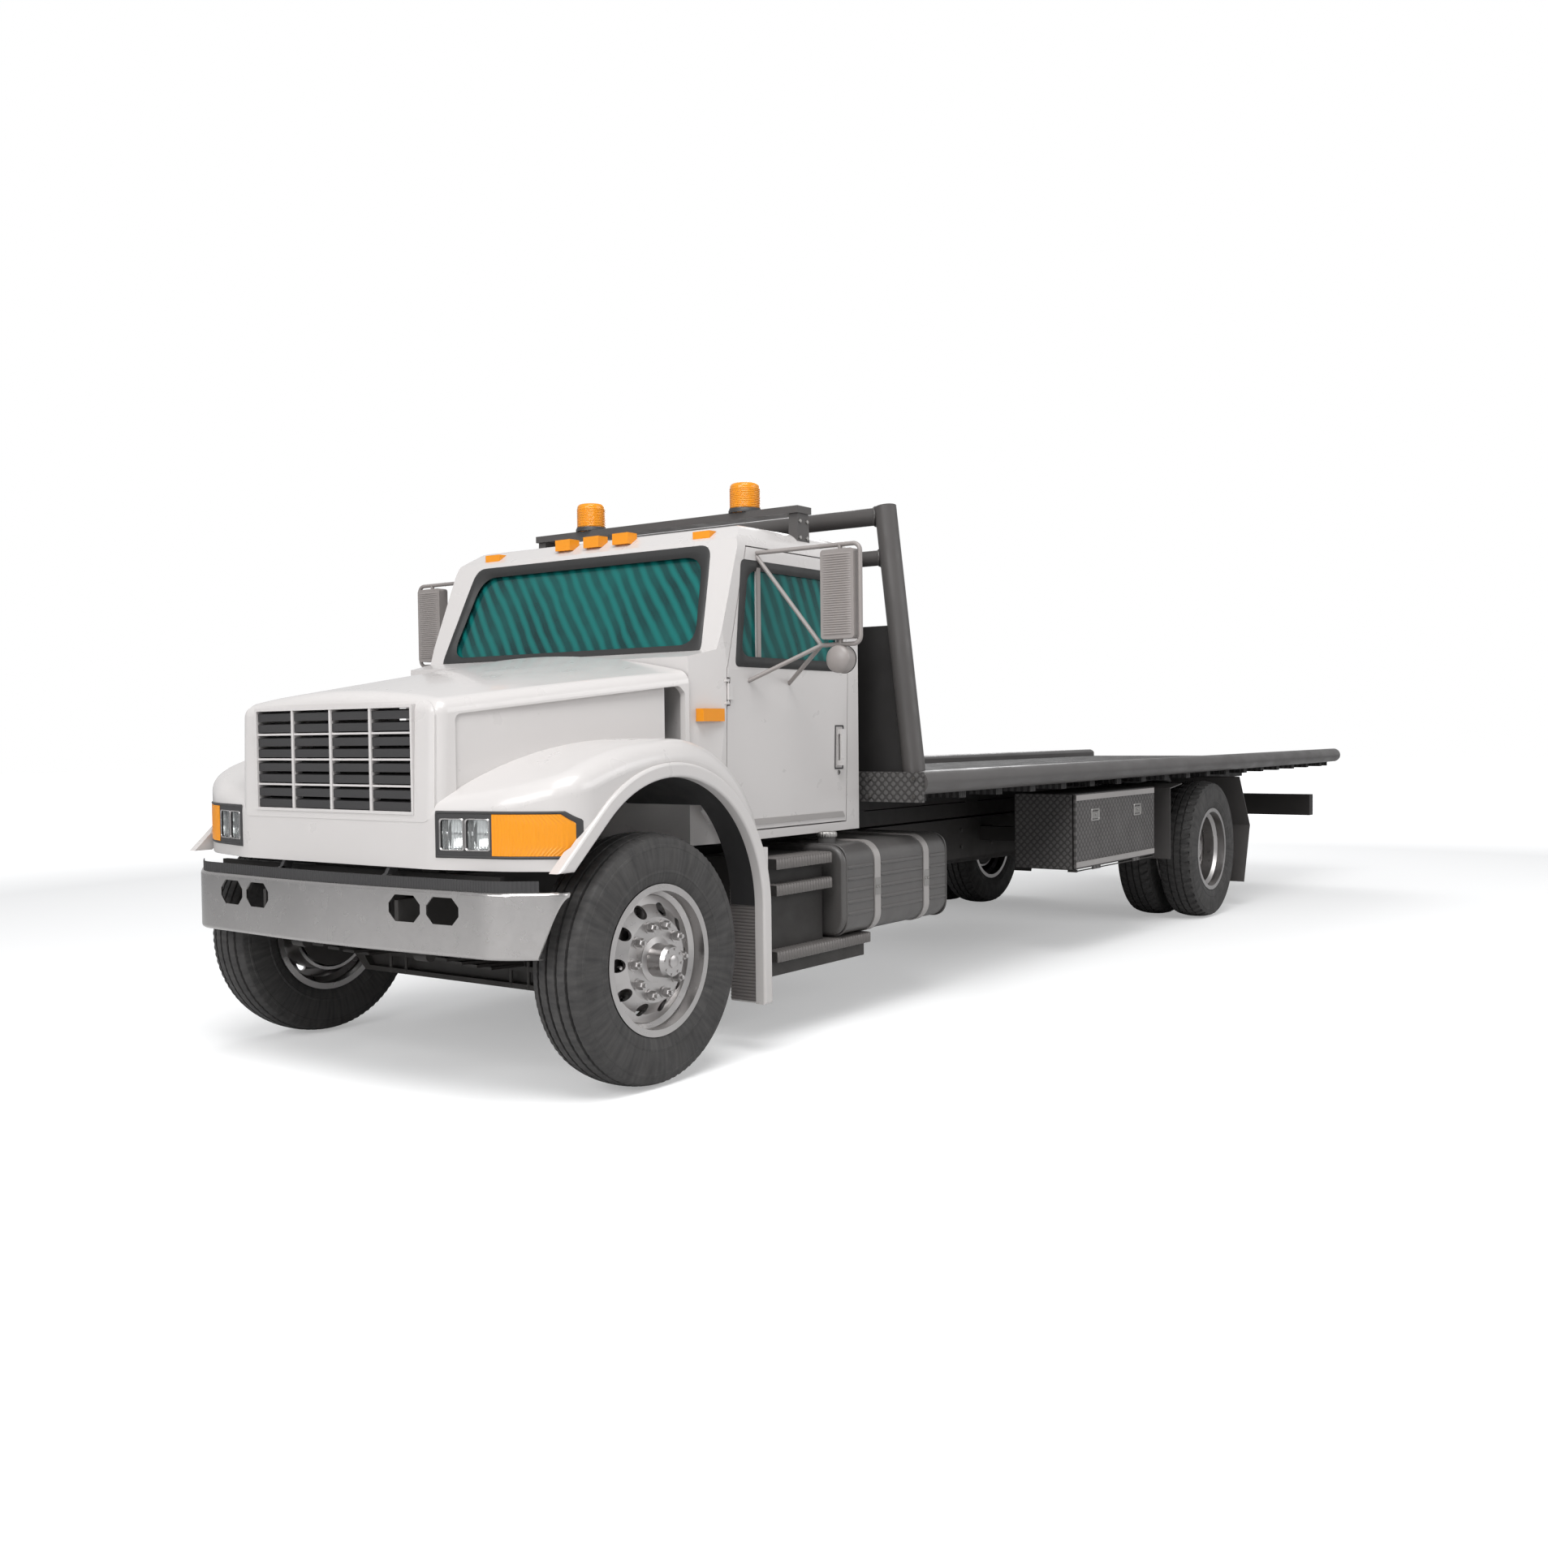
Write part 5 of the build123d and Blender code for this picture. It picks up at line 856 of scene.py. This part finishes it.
def mirrorPanes():
    # a flat pane, and a round one that bulges by the square of the distance from its rim
    r, a = mirror["roundRadius"] - 0.006, np.linspace(0, 1, 12)[::-1]
    pane = rectangle(*mirrorBox, "YZ", mirror["x"] - mirror["deep"] + 0.0005, 0.012, 0.002 - mirror["rim"])
    dome = np.concatenate([[(0.0, -0.001), (r, -0.001)], np.stack([r * a, 0.008 * (1 - a ** 2)], -1)])
    return joined([slab(pane, -outX, 0.0025, 0.0006), roundPart(dome, -0.024, -1, 48)])


addEachSide("mirror_ribs_", mirrorFront(), mirrorGrey, "door_", 60)
addEachSide("mirror_rims_", mirrorRims(), sealRubber, "door_")
addEachSide("mirror_faces_", mirrorPanes(), mirrorGlass, "door_")
print("beacons and mirrors made")

# doors: handle frame and lock, lower strip, channel on the window's divider
doorTrim = {"handle": ((-1.662, 1.238), (-1.600, 1.442)), "frame": 0.007,
            "strip": ((-1.690, 0.992), (-0.740, 1.020)),
            "divider": ((-0.990, 1.745), (-0.964, 2.172)), "lock": (-1.631, 1.215)}


def onDoor(part, points, off=0.001, grow=0.0):
    # the outline of a part of the door's trim on the door's skin, its points at even distances
    loop = evenLoop(oblong(*doorTrim[part], grow), points)
    return flatLoop(loop + (axleX, 0), "XZ", cabSide(loop[:, 1]) + off)


handleFrame = bandBetween(onDoor("handle", 64), onDoor("handle", 64, grow=doorTrim["frame"]), 0.004, outY)
lockX, lockZ = doorTrim["lock"]
divider = flatLoop(oblong(*doorTrim["divider"]) + (axleX, 0), "XZ", 0.9335)
addEachSide("handle_frame_", handleFrame, trimPlastic, "door_")
addEachSide("door_lock_", disc((axleX + lockX, float(cabSide(lockZ)) - 0.001, lockZ), outY, 0.012, 0.005),
            chrome, "door_")
addEachSide("door_strip_", slab(onDoor("strip", 40, -0.001), outY, 0.006), tubeGrey, "door_")
addEachSide("window_divider_", slab(divider, outY, 0.006), mirrorGrey, "door_")
print("door trims made")

# steps: ribbed treads with a folded front edge
steps = {"treads": ((0.842, -0.892, -1.352), (0.722, -0.892, -1.352), (0.420, -0.892, -1.690)),
         "outer": 1.080, "deep": 0.046, "pitch": 0.023, "wave": 0.0032}


def stepTread(top, front, back):
    # ribs = a low wave along the tread, and the sheet folds down over its outer edge
    count = int(round((front - back) / steps["pitch"]))
    share = np.linspace(0, 1, 8 * count + 1)
    wave, edge = ribWave(steps["wave"], count, share), steps["outer"]
    section = np.array([(edge - 0.12, 0.0), (edge - 0.004, 0.0), (edge + 0.001, -0.004),
                        (edge + 0.002, -steps["deep"])])
    grid = np.stack(np.broadcast_arrays(axleX + between(back + 0.003, front - 0.003, share)[:, None],
                                        section[:, 0], top + 0.0015 + section[:, 1]), -1).copy()
    grid[:, :2, 2] += wave[:, None]
    grid[:, 2:, 1] += wave[:, None]
    return thickSheet(grid, (0, -0.0025, -0.0025))


addPair("step_treads", joined([stepTread(*tread) for tread in steps["treads"]]), treadGrey, "chassis",
        60)

# fuel tanks: pressed ribs between the straps, end beads, filler caps and strap bolts
tank = {"inner": 0.520, "outer": 1.120, "low": 0.432, "high": 0.872, "round": 0.092, "ribRadius": 0.012,
        "ribs": np.linspace(0.540, 0.764, 5), "spans": ((-2.380, -2.205), (-2.135, -1.725), (-1.655, -1.420)),
        "ends": (-2.386, -1.418), "straps": (-1.690, -2.170), "neck": (-1.500, 0.950, 0.902)}


def tankRibs():
    y = tank["outer"] - 0.006
    ribs = [capsule((axleX + a, y, z), (axleX + b, y, z), tank["ribRadius"]) for z in tank["ribs"]
            for a, b in tank["spans"]]
    section = roundedLoop(oblong((tank["inner"], tank["low"]), (tank["outer"], tank["high"])), tank["round"],
                          10)
    return joined(ribs + [tube(flatLoop(section, "YZ", axleX + x), 0.005, 8, outX, True)
                          for x in tank["ends"]])


def fillerCap():
    # radius = the cap's own less a fluted wave of 24 scallops, falling in to a flat top
    x, y, z = tank["neck"]
    a = turns(144)
    rows = [(0.050, 0.0, 1.0), (0.052, 0.003, 1.0), (0.052, 0.020, 1.0), (0.048, 0.026, 0.5),
            (0.020, 0.028, 0.0)]
    radius, height, share = np.array(rows).T[:, :, None]
    r = radius - share * 0.002 * np.abs(np.sin(12 * a))
    return shell(np.stack(np.broadcast_arrays(axleX + x + r * np.cos(a), y + r * np.sin(a), z + height), -1),
                 False, True, True)


def strapBuckle(place):
    x, y = axleX + place, tank["outer"] + 0.006
    plate = rectangle((x - 0.024, 0.610), (x + 0.024, 0.694), "XZ", y - 0.0005, 0.004)
    return joined([boltHeads([(x - 0.012, y, 0.652), (x + 0.012, y, 0.652)], outY, 0.008, 0.007),
                   slab(plate, outY, 0.003)])


addPair("tank_ribs", tankRibs(), tankPaint, "chassis", 60)
addPair("filler_caps", fillerCap(), bareSteel, "chassis", 40)
addPair("strap_buckles", joined([strapBuckle(place) for place in tank["straps"]]), bareSteel, "chassis")
print("steps and tanks made")

# toolboxes: edge bars and paddle latches on the drop doors, checkered skin on the box's front end
box = {"back": -5.158, "front": -3.872, "face": 1.200, "low": 0.560, "high": 1.018, "bar": 0.034,
       "latches": (-4.86, -4.17), "latchZ": 0.880, "endFace": -3.870, "inset": 0.006}


def boxBar(low):
    ends = [axleX + box["back"] + box["inset"], axleX + box["front"] - box["inset"]]
    return slab(rectangle((ends[0], low), (ends[1], low + box["bar"]), "XZ", box["face"] - 0.0005, 0.004),
                outY, 0.005)


def boxLatch(place):
    x, z, face = axleX + place, box["latchZ"], box["face"]
    rings = [rectangle((x - 0.062, z - 0.040), (x + 0.062, z + 0.040), "XZ", face, 0.010, -g)
             for g in (0.012, 0.0)]
    paddle = rectangle((x - 0.046, z - 0.024), (x + 0.046, z + 0.020), "XZ", face - 0.0005, 0.006)
    return joined([bandBetween(*rings, 0.005, outY), slab(paddle, outY, 0.004),
                   disc((x, face, z + 0.001), outY, 0.009, 0.008, 24)])


bars = joined([boxBar(low) for low in (box["low"] + box["inset"], box["high"] - box["inset"] - box["bar"])])
addEachSide("toolbox_bars_", bars, tubeGrey, "toolbox_lid_")
addEachSide("toolbox_latches_", joined([boxLatch(place) for place in box["latches"]]), bareSteel,
            "toolbox_lid_")
endSkin = rectangle((0.794, 0.556), (1.176, 1.016), "YZ", axleX + box["endFace"] - 0.0005, 0.004)
addPair("toolbox_end_skins", slab(endSkin, outX, 0.003), edgePlate, "chassis")

# frame rails: rows of bolts on the outer webs, U bolts over the springs, clamps on the exhaust
rail = {"face": 0.430, "rows": (0.672, 0.778), "start": -8.75, "end": -0.55, "pitch": 0.41, "radius": 0.012,
        "height": 0.010}
springs = {"packs": ((0.0, 0.392, 0.330, 0.508), (-6.350, 0.482, 0.448, 0.660)), "half": 0.047,
           "spread": 0.038, "rod": 0.008}
muffler = {"front": (axleX - 2.500, -0.250, 0.470), "back": (axleX - 3.500, -0.250, 0.470), "radius": 0.120,
           "pipe": 0.050}
railBolts = boltHeads([(axleX + x, rail["face"], z)
                       for x in np.arange(rail["start"], rail["end"], rail["pitch"])
                       for z in rail["rows"]], outY, rail["radius"], rail["height"])


def springBolts(place, y, low, top):
    # two U rods per pack: up one side, over the pad and down the other side
    made, reach = [], springs["half"] + 0.006
    for dx in (-springs["spread"], springs["spread"]):
        x = axleX + place + dx
        path = roundedPath([(x, y - reach, low), (x, y - reach, top), (x, y + reach, top),
                            (x, y + reach, low)], 0.016)
        made += [tube(path, springs["rod"], 10, outX),
                 boltHeads([(x, y - reach, low + 0.014), (x, y + reach, low + 0.014)], outZ, 0.013, 0.012)]
    return joined(made)


def exhaustClamps():
    # at each end a seam round the muffler and a clamp round the pipe
    r, pipe = muffler["radius"], muffler["pipe"]
    rim = [(r - 0.004, -0.006), (r + 0.004, -0.006), (r + 0.004, 0.004), (r - 0.004, 0.006)]
    clamp = oblong((pipe - 0.002, 0.030), (pipe + 0.005, 0.058))
    return joined([revolved(profile, muffler[end], 48, way * outX)
                   for end, way in (("front", 1), ("back", -1))
                   for profile in (rim, clamp)])


addPair("rail_bolts", railBolts, castIron, "chassis")
addPair("spring_u_bolts", joined([springBolts(*pack) for pack in springs["packs"]]), castIron, "chassis",
        50)
addPiece("exhaust_clamps", exhaustClamps(), bareSteel, "chassis")
print("frame fittings made")

# bed: weld beads on the headboard, rope on the winch drum, bolts on the front plate, ribs on the tail lamps
board = {"top": np.array([-2.080, 0.950, 2.534]), "foot": np.array([-2.000, 1.165, 1.1495]), "midZ": 2.317,
         "post": 0.057, "pipe": 0.046, "midPipe": 0.040}
winch = {"x": axleX - 2.330, "z": 1.3395, "core": 0.072, "rope": 0.006, "turns": 27, "half": 0.176,
         "perTurn": 28, "motorY": 0.400, "motorCircle": 0.055}
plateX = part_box("bed_front_plate")[1].x
tailLens = {"x": -9.350, "low": (0.768, 0.658), "high": (1.052, 0.752), "ribs": 16}


def weldBead(z, radius):
    # a thin ring round a cross pipe where it meets the post, its radius a little uneven
    x, y = between(board["foot"], board["top"],
                   (z - board["foot"][2]) / (board["top"][2] - board["foot"][2]))[:2]
    a = turns(72)
    r = radius + 0.002 + 0.0008 * np.sin(14 * a)
    inset = board["post"] * np.sqrt(np.clip(1 - (radius * np.cos(a) / board["post"]) ** 2, 0, 1)) + 0.002
    path = np.stack([axleX + x + r * np.cos(a), y - inset, z + r * np.sin(a)], -1)
    return tube(path, 0.006, 8, outY, True)


def ropeCoil():
    # a helix: the drum's turns round its axis while it goes from one side to the other
    a = np.linspace(0, 2 * math.pi * winch["turns"], winch["turns"] * winch["perTurn"] + 1)
    reach = winch["core"] + winch["rope"] * 0.9
    coil = np.stack([winch["x"] + reach * np.cos(a), np.linspace(-winch["half"], winch["half"], len(a)),
                     winch["z"] + reach * np.sin(a)], -1)
    return tube(coil, winch["rope"], 8, outY)


beads = joined([weldBead(board["top"][2], board["pipe"]), weldBead(board["midZ"], board["midPipe"])])
motorBolts = boltHeads(ringPoints(winch["x"], winch["motorY"], winch["z"], winch["motorCircle"], 6), outY,
                       0.007, 0.006)
plateBolts = boltHeads([(plateX, y, z) for y in (0.30, 0.62, 0.94, 1.20) for z in (1.085, 1.175)], outX,
                       0.011, 0.008)
tailRibs = ribbedSheet(axleX + tailLens["x"] - 0.0005, tailLens["low"], tailLens["high"],
                       (8 * tailLens["ribs"] + 1, 5), -0.002, tailLens["ribs"], 0, 0.0015)
addPair("headboard_welds", beads, pipePaint, "bed", 60)
addPiece("winch_rope", ropeCoil(), bareSteel, "winch_drum", 60)
addPiece("winch_motor_bolts", motorBolts, bareSteel, "bed")
addPair("front_plate_bolts", plateBolts, castIron, "bed")
addPair("tail_lamp_ribs", tailRibs, redLens, "chassis", 60)
print("bed fittings made")

# inside the cab: wheel hub and gauges
wheelAt = np.array((axleX - 1.010, 0.420, 1.640))
wheelAxis = unit((-0.868, 0.0, 0.496))
gaugeAxis = unit((-0.427, 0.0, 0.905))
hubPad = revolved([(0, 0), (0.052, 0.0), (0.052, 0.014), (0.040, 0.022), (0, 0.024)],
                  wheelAt + wheelAxis * 0.006, 40, wheelAxis, False)
gaugeRing = [(0.0, 0.0), (0.036, 0.0), (0.036, 0.006), (0.031, 0.006), (0.031, 0.003), (0.0, 0.003)]
gauges = joined([revolved(gaugeRing, (axleX - 0.775, y, 1.7005), 36, gaugeAxis, False)
                 for y in (0.300, 0.385, 0.470, 0.555)])
addPiece("steering_hub", hubPad, trimPlastic, "chassis")
addPiece("dash_gauges", gauges, chrome, "chassis")
print("cab inside made")

# seats: pads and backs blown up as cloth, with sewn channels pressed in afterwards
seatPads = {"seat": ((-1.640, 1.322), (-1.150, 1.322), (-1.150, 1.448), (-1.640, 1.448)),
            "back": ((-1.640, 1.452), (-1.540, 1.452), (-1.660, 2.058), (-1.760, 2.058)), "shrink": 0.014,
            "voxel": 0.012, "pressure": 4.0, "frames": 20, "cap": 0.024,
            "sides": {"driver": (0.130, 0.700), "bench": (-0.780, 0.040)}}


def padOutline(kind, lowY, highY):
    # eight corners of a pad, drawn in all round by the shrink
    g = seatPads["shrink"]
    inward = g * np.array([(1, 1), (-1, 1), (-1, -1), (1, -1)])
    section = np.array(seatPads[kind]) + inward
    return shell(np.array([[(axleX + x, y, z) for x, z in section] for y in (lowY + g, highY - g)]),
                 False, True, True)


def pointsOf(mesh):
    found = np.zeros(len(mesh.vertices) * 3)
    mesh.vertices.foreach_get("co", found)
    return found.reshape(-1, 3)


def baked(obj):
    # the object's mesh becomes what its modifiers make of it at this frame
    shape = bpy.data.meshes.new_from_object(obj.evaluated_get(bpy.context.evaluated_depsgraph_get()))
    obj.modifiers.clear()
    obj.data = shape
    return pointsOf(shape)


def plumped(obj):
    # the pad's skin swells under pressure for the set frames, then every point's move is capped
    remesh = obj.modifiers.new("even", "REMESH")
    remesh.mode, remesh.voxel_size, remesh.use_smooth_shade = "VOXEL", seatPads["voxel"], True
    bpy.context.view_layer.update()
    start = baked(obj)
    cloth = obj.modifiers.new("cloth", "CLOTH")
    cloth.settings.use_pressure = True
    cloth.settings.uniform_pressure_force = seatPads["pressure"]
    cloth.settings.effector_weights.gravity = 0.0
    cloth.settings.quality = 5
    cloth.point_cache.frame_start, cloth.point_cache.frame_end = 1, seatPads["frames"]
    scene = bpy.context.scene
    for step in range(1, seatPads["frames"] + 1):
        scene.frame_set(step)
    move = baked(obj) - start
    scene.frame_set(1)
    length = np.linalg.norm(move, axis=1, keepdims=True)
    return start + move * np.minimum(1.0, seatPads["cap"] / np.maximum(length, 1e-9))


def addPad(name, kind, lowY, highY):
    points, faces = padOutline(kind, lowY, highY)
    obj = addPiece(name, (points, faces), seatCloth, "chassis", 60)
    # nothing may leave the space the plain pad holds
    room = seatPads["shrink"] - 0.001
    low, high = points.min(0) - room, points.max(0) + room
    moved = np.clip(plumped(obj), low, high)
    if kind == "seat":
        # sewn channels: three shallow grooves across the top, each a narrow bell of depth
        top = np.clip((moved[:, 2] - (low[2] + high[2]) / 2) / 0.03, 0, 1)
        for share in (0.28, 0.5, 0.72):
            at = between(low[0], high[0], share)
            moved[:, 2] -= 0.010 * top * np.exp(-((moved[:, 0] - at) / 0.010) ** 2)
    obj.data.vertices.foreach_set("co", moved.ravel())
    obj.data.update()
    obj.data.materials.clear()
    obj.data.materials.append(seatCloth)
    smooth = obj.modifiers.new("smooth", "SUBSURF")
    smooth.levels = smooth.render_levels = 1
    obj.data.polygons.foreach_set("use_smooth", np.ones(len(obj.data.polygons), bool))
    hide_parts("seats")


for word, (lowY, highY) in seatPads["sides"].items():
    addPad(word + "_seat_pad", "seat", lowY, highY)
    addPad(word + "_back_pad", "back", lowY, highY)
print("seats made")

# camera, light, floor
view = {"x": axleX + 4.45, "y": 4.92, "z": 1.41, "yaw": 35.75, "pitch": 1.97, "roll": -0.65,
        "focalPixels": 1800.0, "imageHeight": 1932.0}
stage = {"worldLit": 0.34, "glossyShare": 0.45, "floorNear": 0.34, "floorFar": 1.0, "nearReach": 9.0,
         "farReach": 15.0, "floorTone": 0.72, "floorHalf": 60.0, "floorZ": -0.002}
lamps = {"key": ((8.0, 4.0, 11.0), (2.0, 0.0, 1.0), (7.0, 7.0), 1250.0),
         "front": ((13.0, 1.0, 5.0), (3.0, 0.0, 1.0), (6.0, 4.0), 450.0),
         "side": ((-1.0, 10.0, 5.0), (0.0, 0.0, 1.0), (9.0, 4.0), 330.0),
         "back": ((-10.0, -6.0, 7.0), (0.0, 0.0, 1.0), (6.0, 6.0), 500.0)}


def addObject(name, data):
    obj = bpy.data.objects.new(name, data)
    bpy.context.scene.collection.objects.link(obj)
    return obj


def placeCamera():
    # turned by yaw, then pitch, then roll about its own line of sight
    camera = bpy.data.cameras.new("camera")
    camera.sensor_fit = "AUTO"
    camera.sensor_width = 36.0
    camera.lens = view["focalPixels"] / view["imageHeight"] * camera.sensor_width
    obj = addObject("camera", camera)
    yaw, pitch, roll = (math.radians(view[k]) for k in ("yaw", "pitch", "roll"))
    ahead = Vector((-math.cos(yaw) * math.cos(pitch), -math.sin(yaw) * math.cos(pitch), -math.sin(pitch)))
    right = ahead.cross(Vector((0, 0, 1))).normalized()
    up = right.cross(ahead)
    rows = Matrix((right * math.cos(roll) + up * math.sin(roll), up * math.cos(roll) - right * math.sin(roll),
                   -ahead)).transposed().to_4x4()
    rows.translation = Vector((view["x"], view["y"], view["z"]))
    obj.matrix_world = rows
    bpy.context.scene.camera = obj


def addLamp(name, place, target, size, power):
    lamp = bpy.data.lights.new(name, "AREA")
    lamp.shape, lamp.size, lamp.size_y, lamp.energy = "RECTANGLE", size[0], size[1], power
    obj = addObject(name, lamp)
    obj.location = place
    obj.rotation_mode = "QUATERNION"
    obj.rotation_quaternion = (Vector(target) - Vector(place)).to_track_quat("-Z", "Y")


def addWorld():
    # full white where the camera or glass sees it, in part where polish does, softer as a light
    world = bpy.data.worlds.new("studio")
    bpy.context.scene.world = world
    world.use_nodes = True
    tree = world.node_tree
    tree.nodes.clear()
    ray = addNode(tree, "LightPath").outputs
    shown = mathNode(tree, "MAXIMUM", ray["Is Camera Ray"], ray["Is Transmission Ray"])
    shown = mathNode(tree, "MAXIMUM", shown, times(tree, ray["Is Glossy Ray"], stage["glossyShare"]))
    lit = addNode(tree, "Background", {"Color": (0.95, 0.97, 1, 1), "Strength": stage["worldLit"]})
    seen = addNode(tree, "Background", {"Color": (1, 1, 1, 1), "Strength": 1.0})
    mix = addNode(tree, "MixShader", {0: shown, 1: lit.outputs[0], 2: seen.outputs[0]})
    addNode(tree, "OutputWorld", {"Surface": mix.outputs[0]})


def addFloor():
    # the floor's own glow grows with the distance from the truck, so it meets the white behind it
    half = stage["floorHalf"]
    mesh = bpy.data.meshes.new("floor")
    corners = flatLoop(oblong((-half, -half), (half, half)), "XY", stage["floorZ"])
    mesh.from_pydata(corners.tolist(), [], [(0, 1, 2, 3)])
    mat, tree, bsdf = newFinish("pale floor")
    fill(tree, bsdf, {"Base Color": (stage["floorTone"],) * 3 + (1,), "Roughness": 0.9,
                      "Specular IOR Level": 0.1})
    reach = addNode(tree, "VectorMath", {0: addNode(tree, "TexCoord").outputs["Object"]}, operation="LENGTH")
    glow = addNode(tree, "Emission", {
        "Color": (1, 1, 1, 1),
        "Strength": ranged(tree, reach.outputs["Value"], stage["floorNear"], stage["floorFar"],
                           stage["nearReach"], stage["farReach"])})
    both = addNode(tree, "AddShader", {0: bsdf.outputs[0], 1: glow.outputs[0]})
    seen = addNode(tree, "LightPath").outputs["Is Camera Ray"]
    mix = addNode(tree, "MixShader", {0: seen, 1: bsdf.outputs[0], 2: both.outputs[0]})
    fill(tree, tree.get_output_node("ALL"), {"Surface": mix.outputs[0]})
    mesh.materials.append(mat)
    addObject("floor", mesh)


placeCamera()
addWorld()
addFloor()
for name, settings in lamps.items():
    addLamp(name, *settings)
bpy.context.scene.view_settings.view_transform = "Standard"
print("camera and lamps placed")
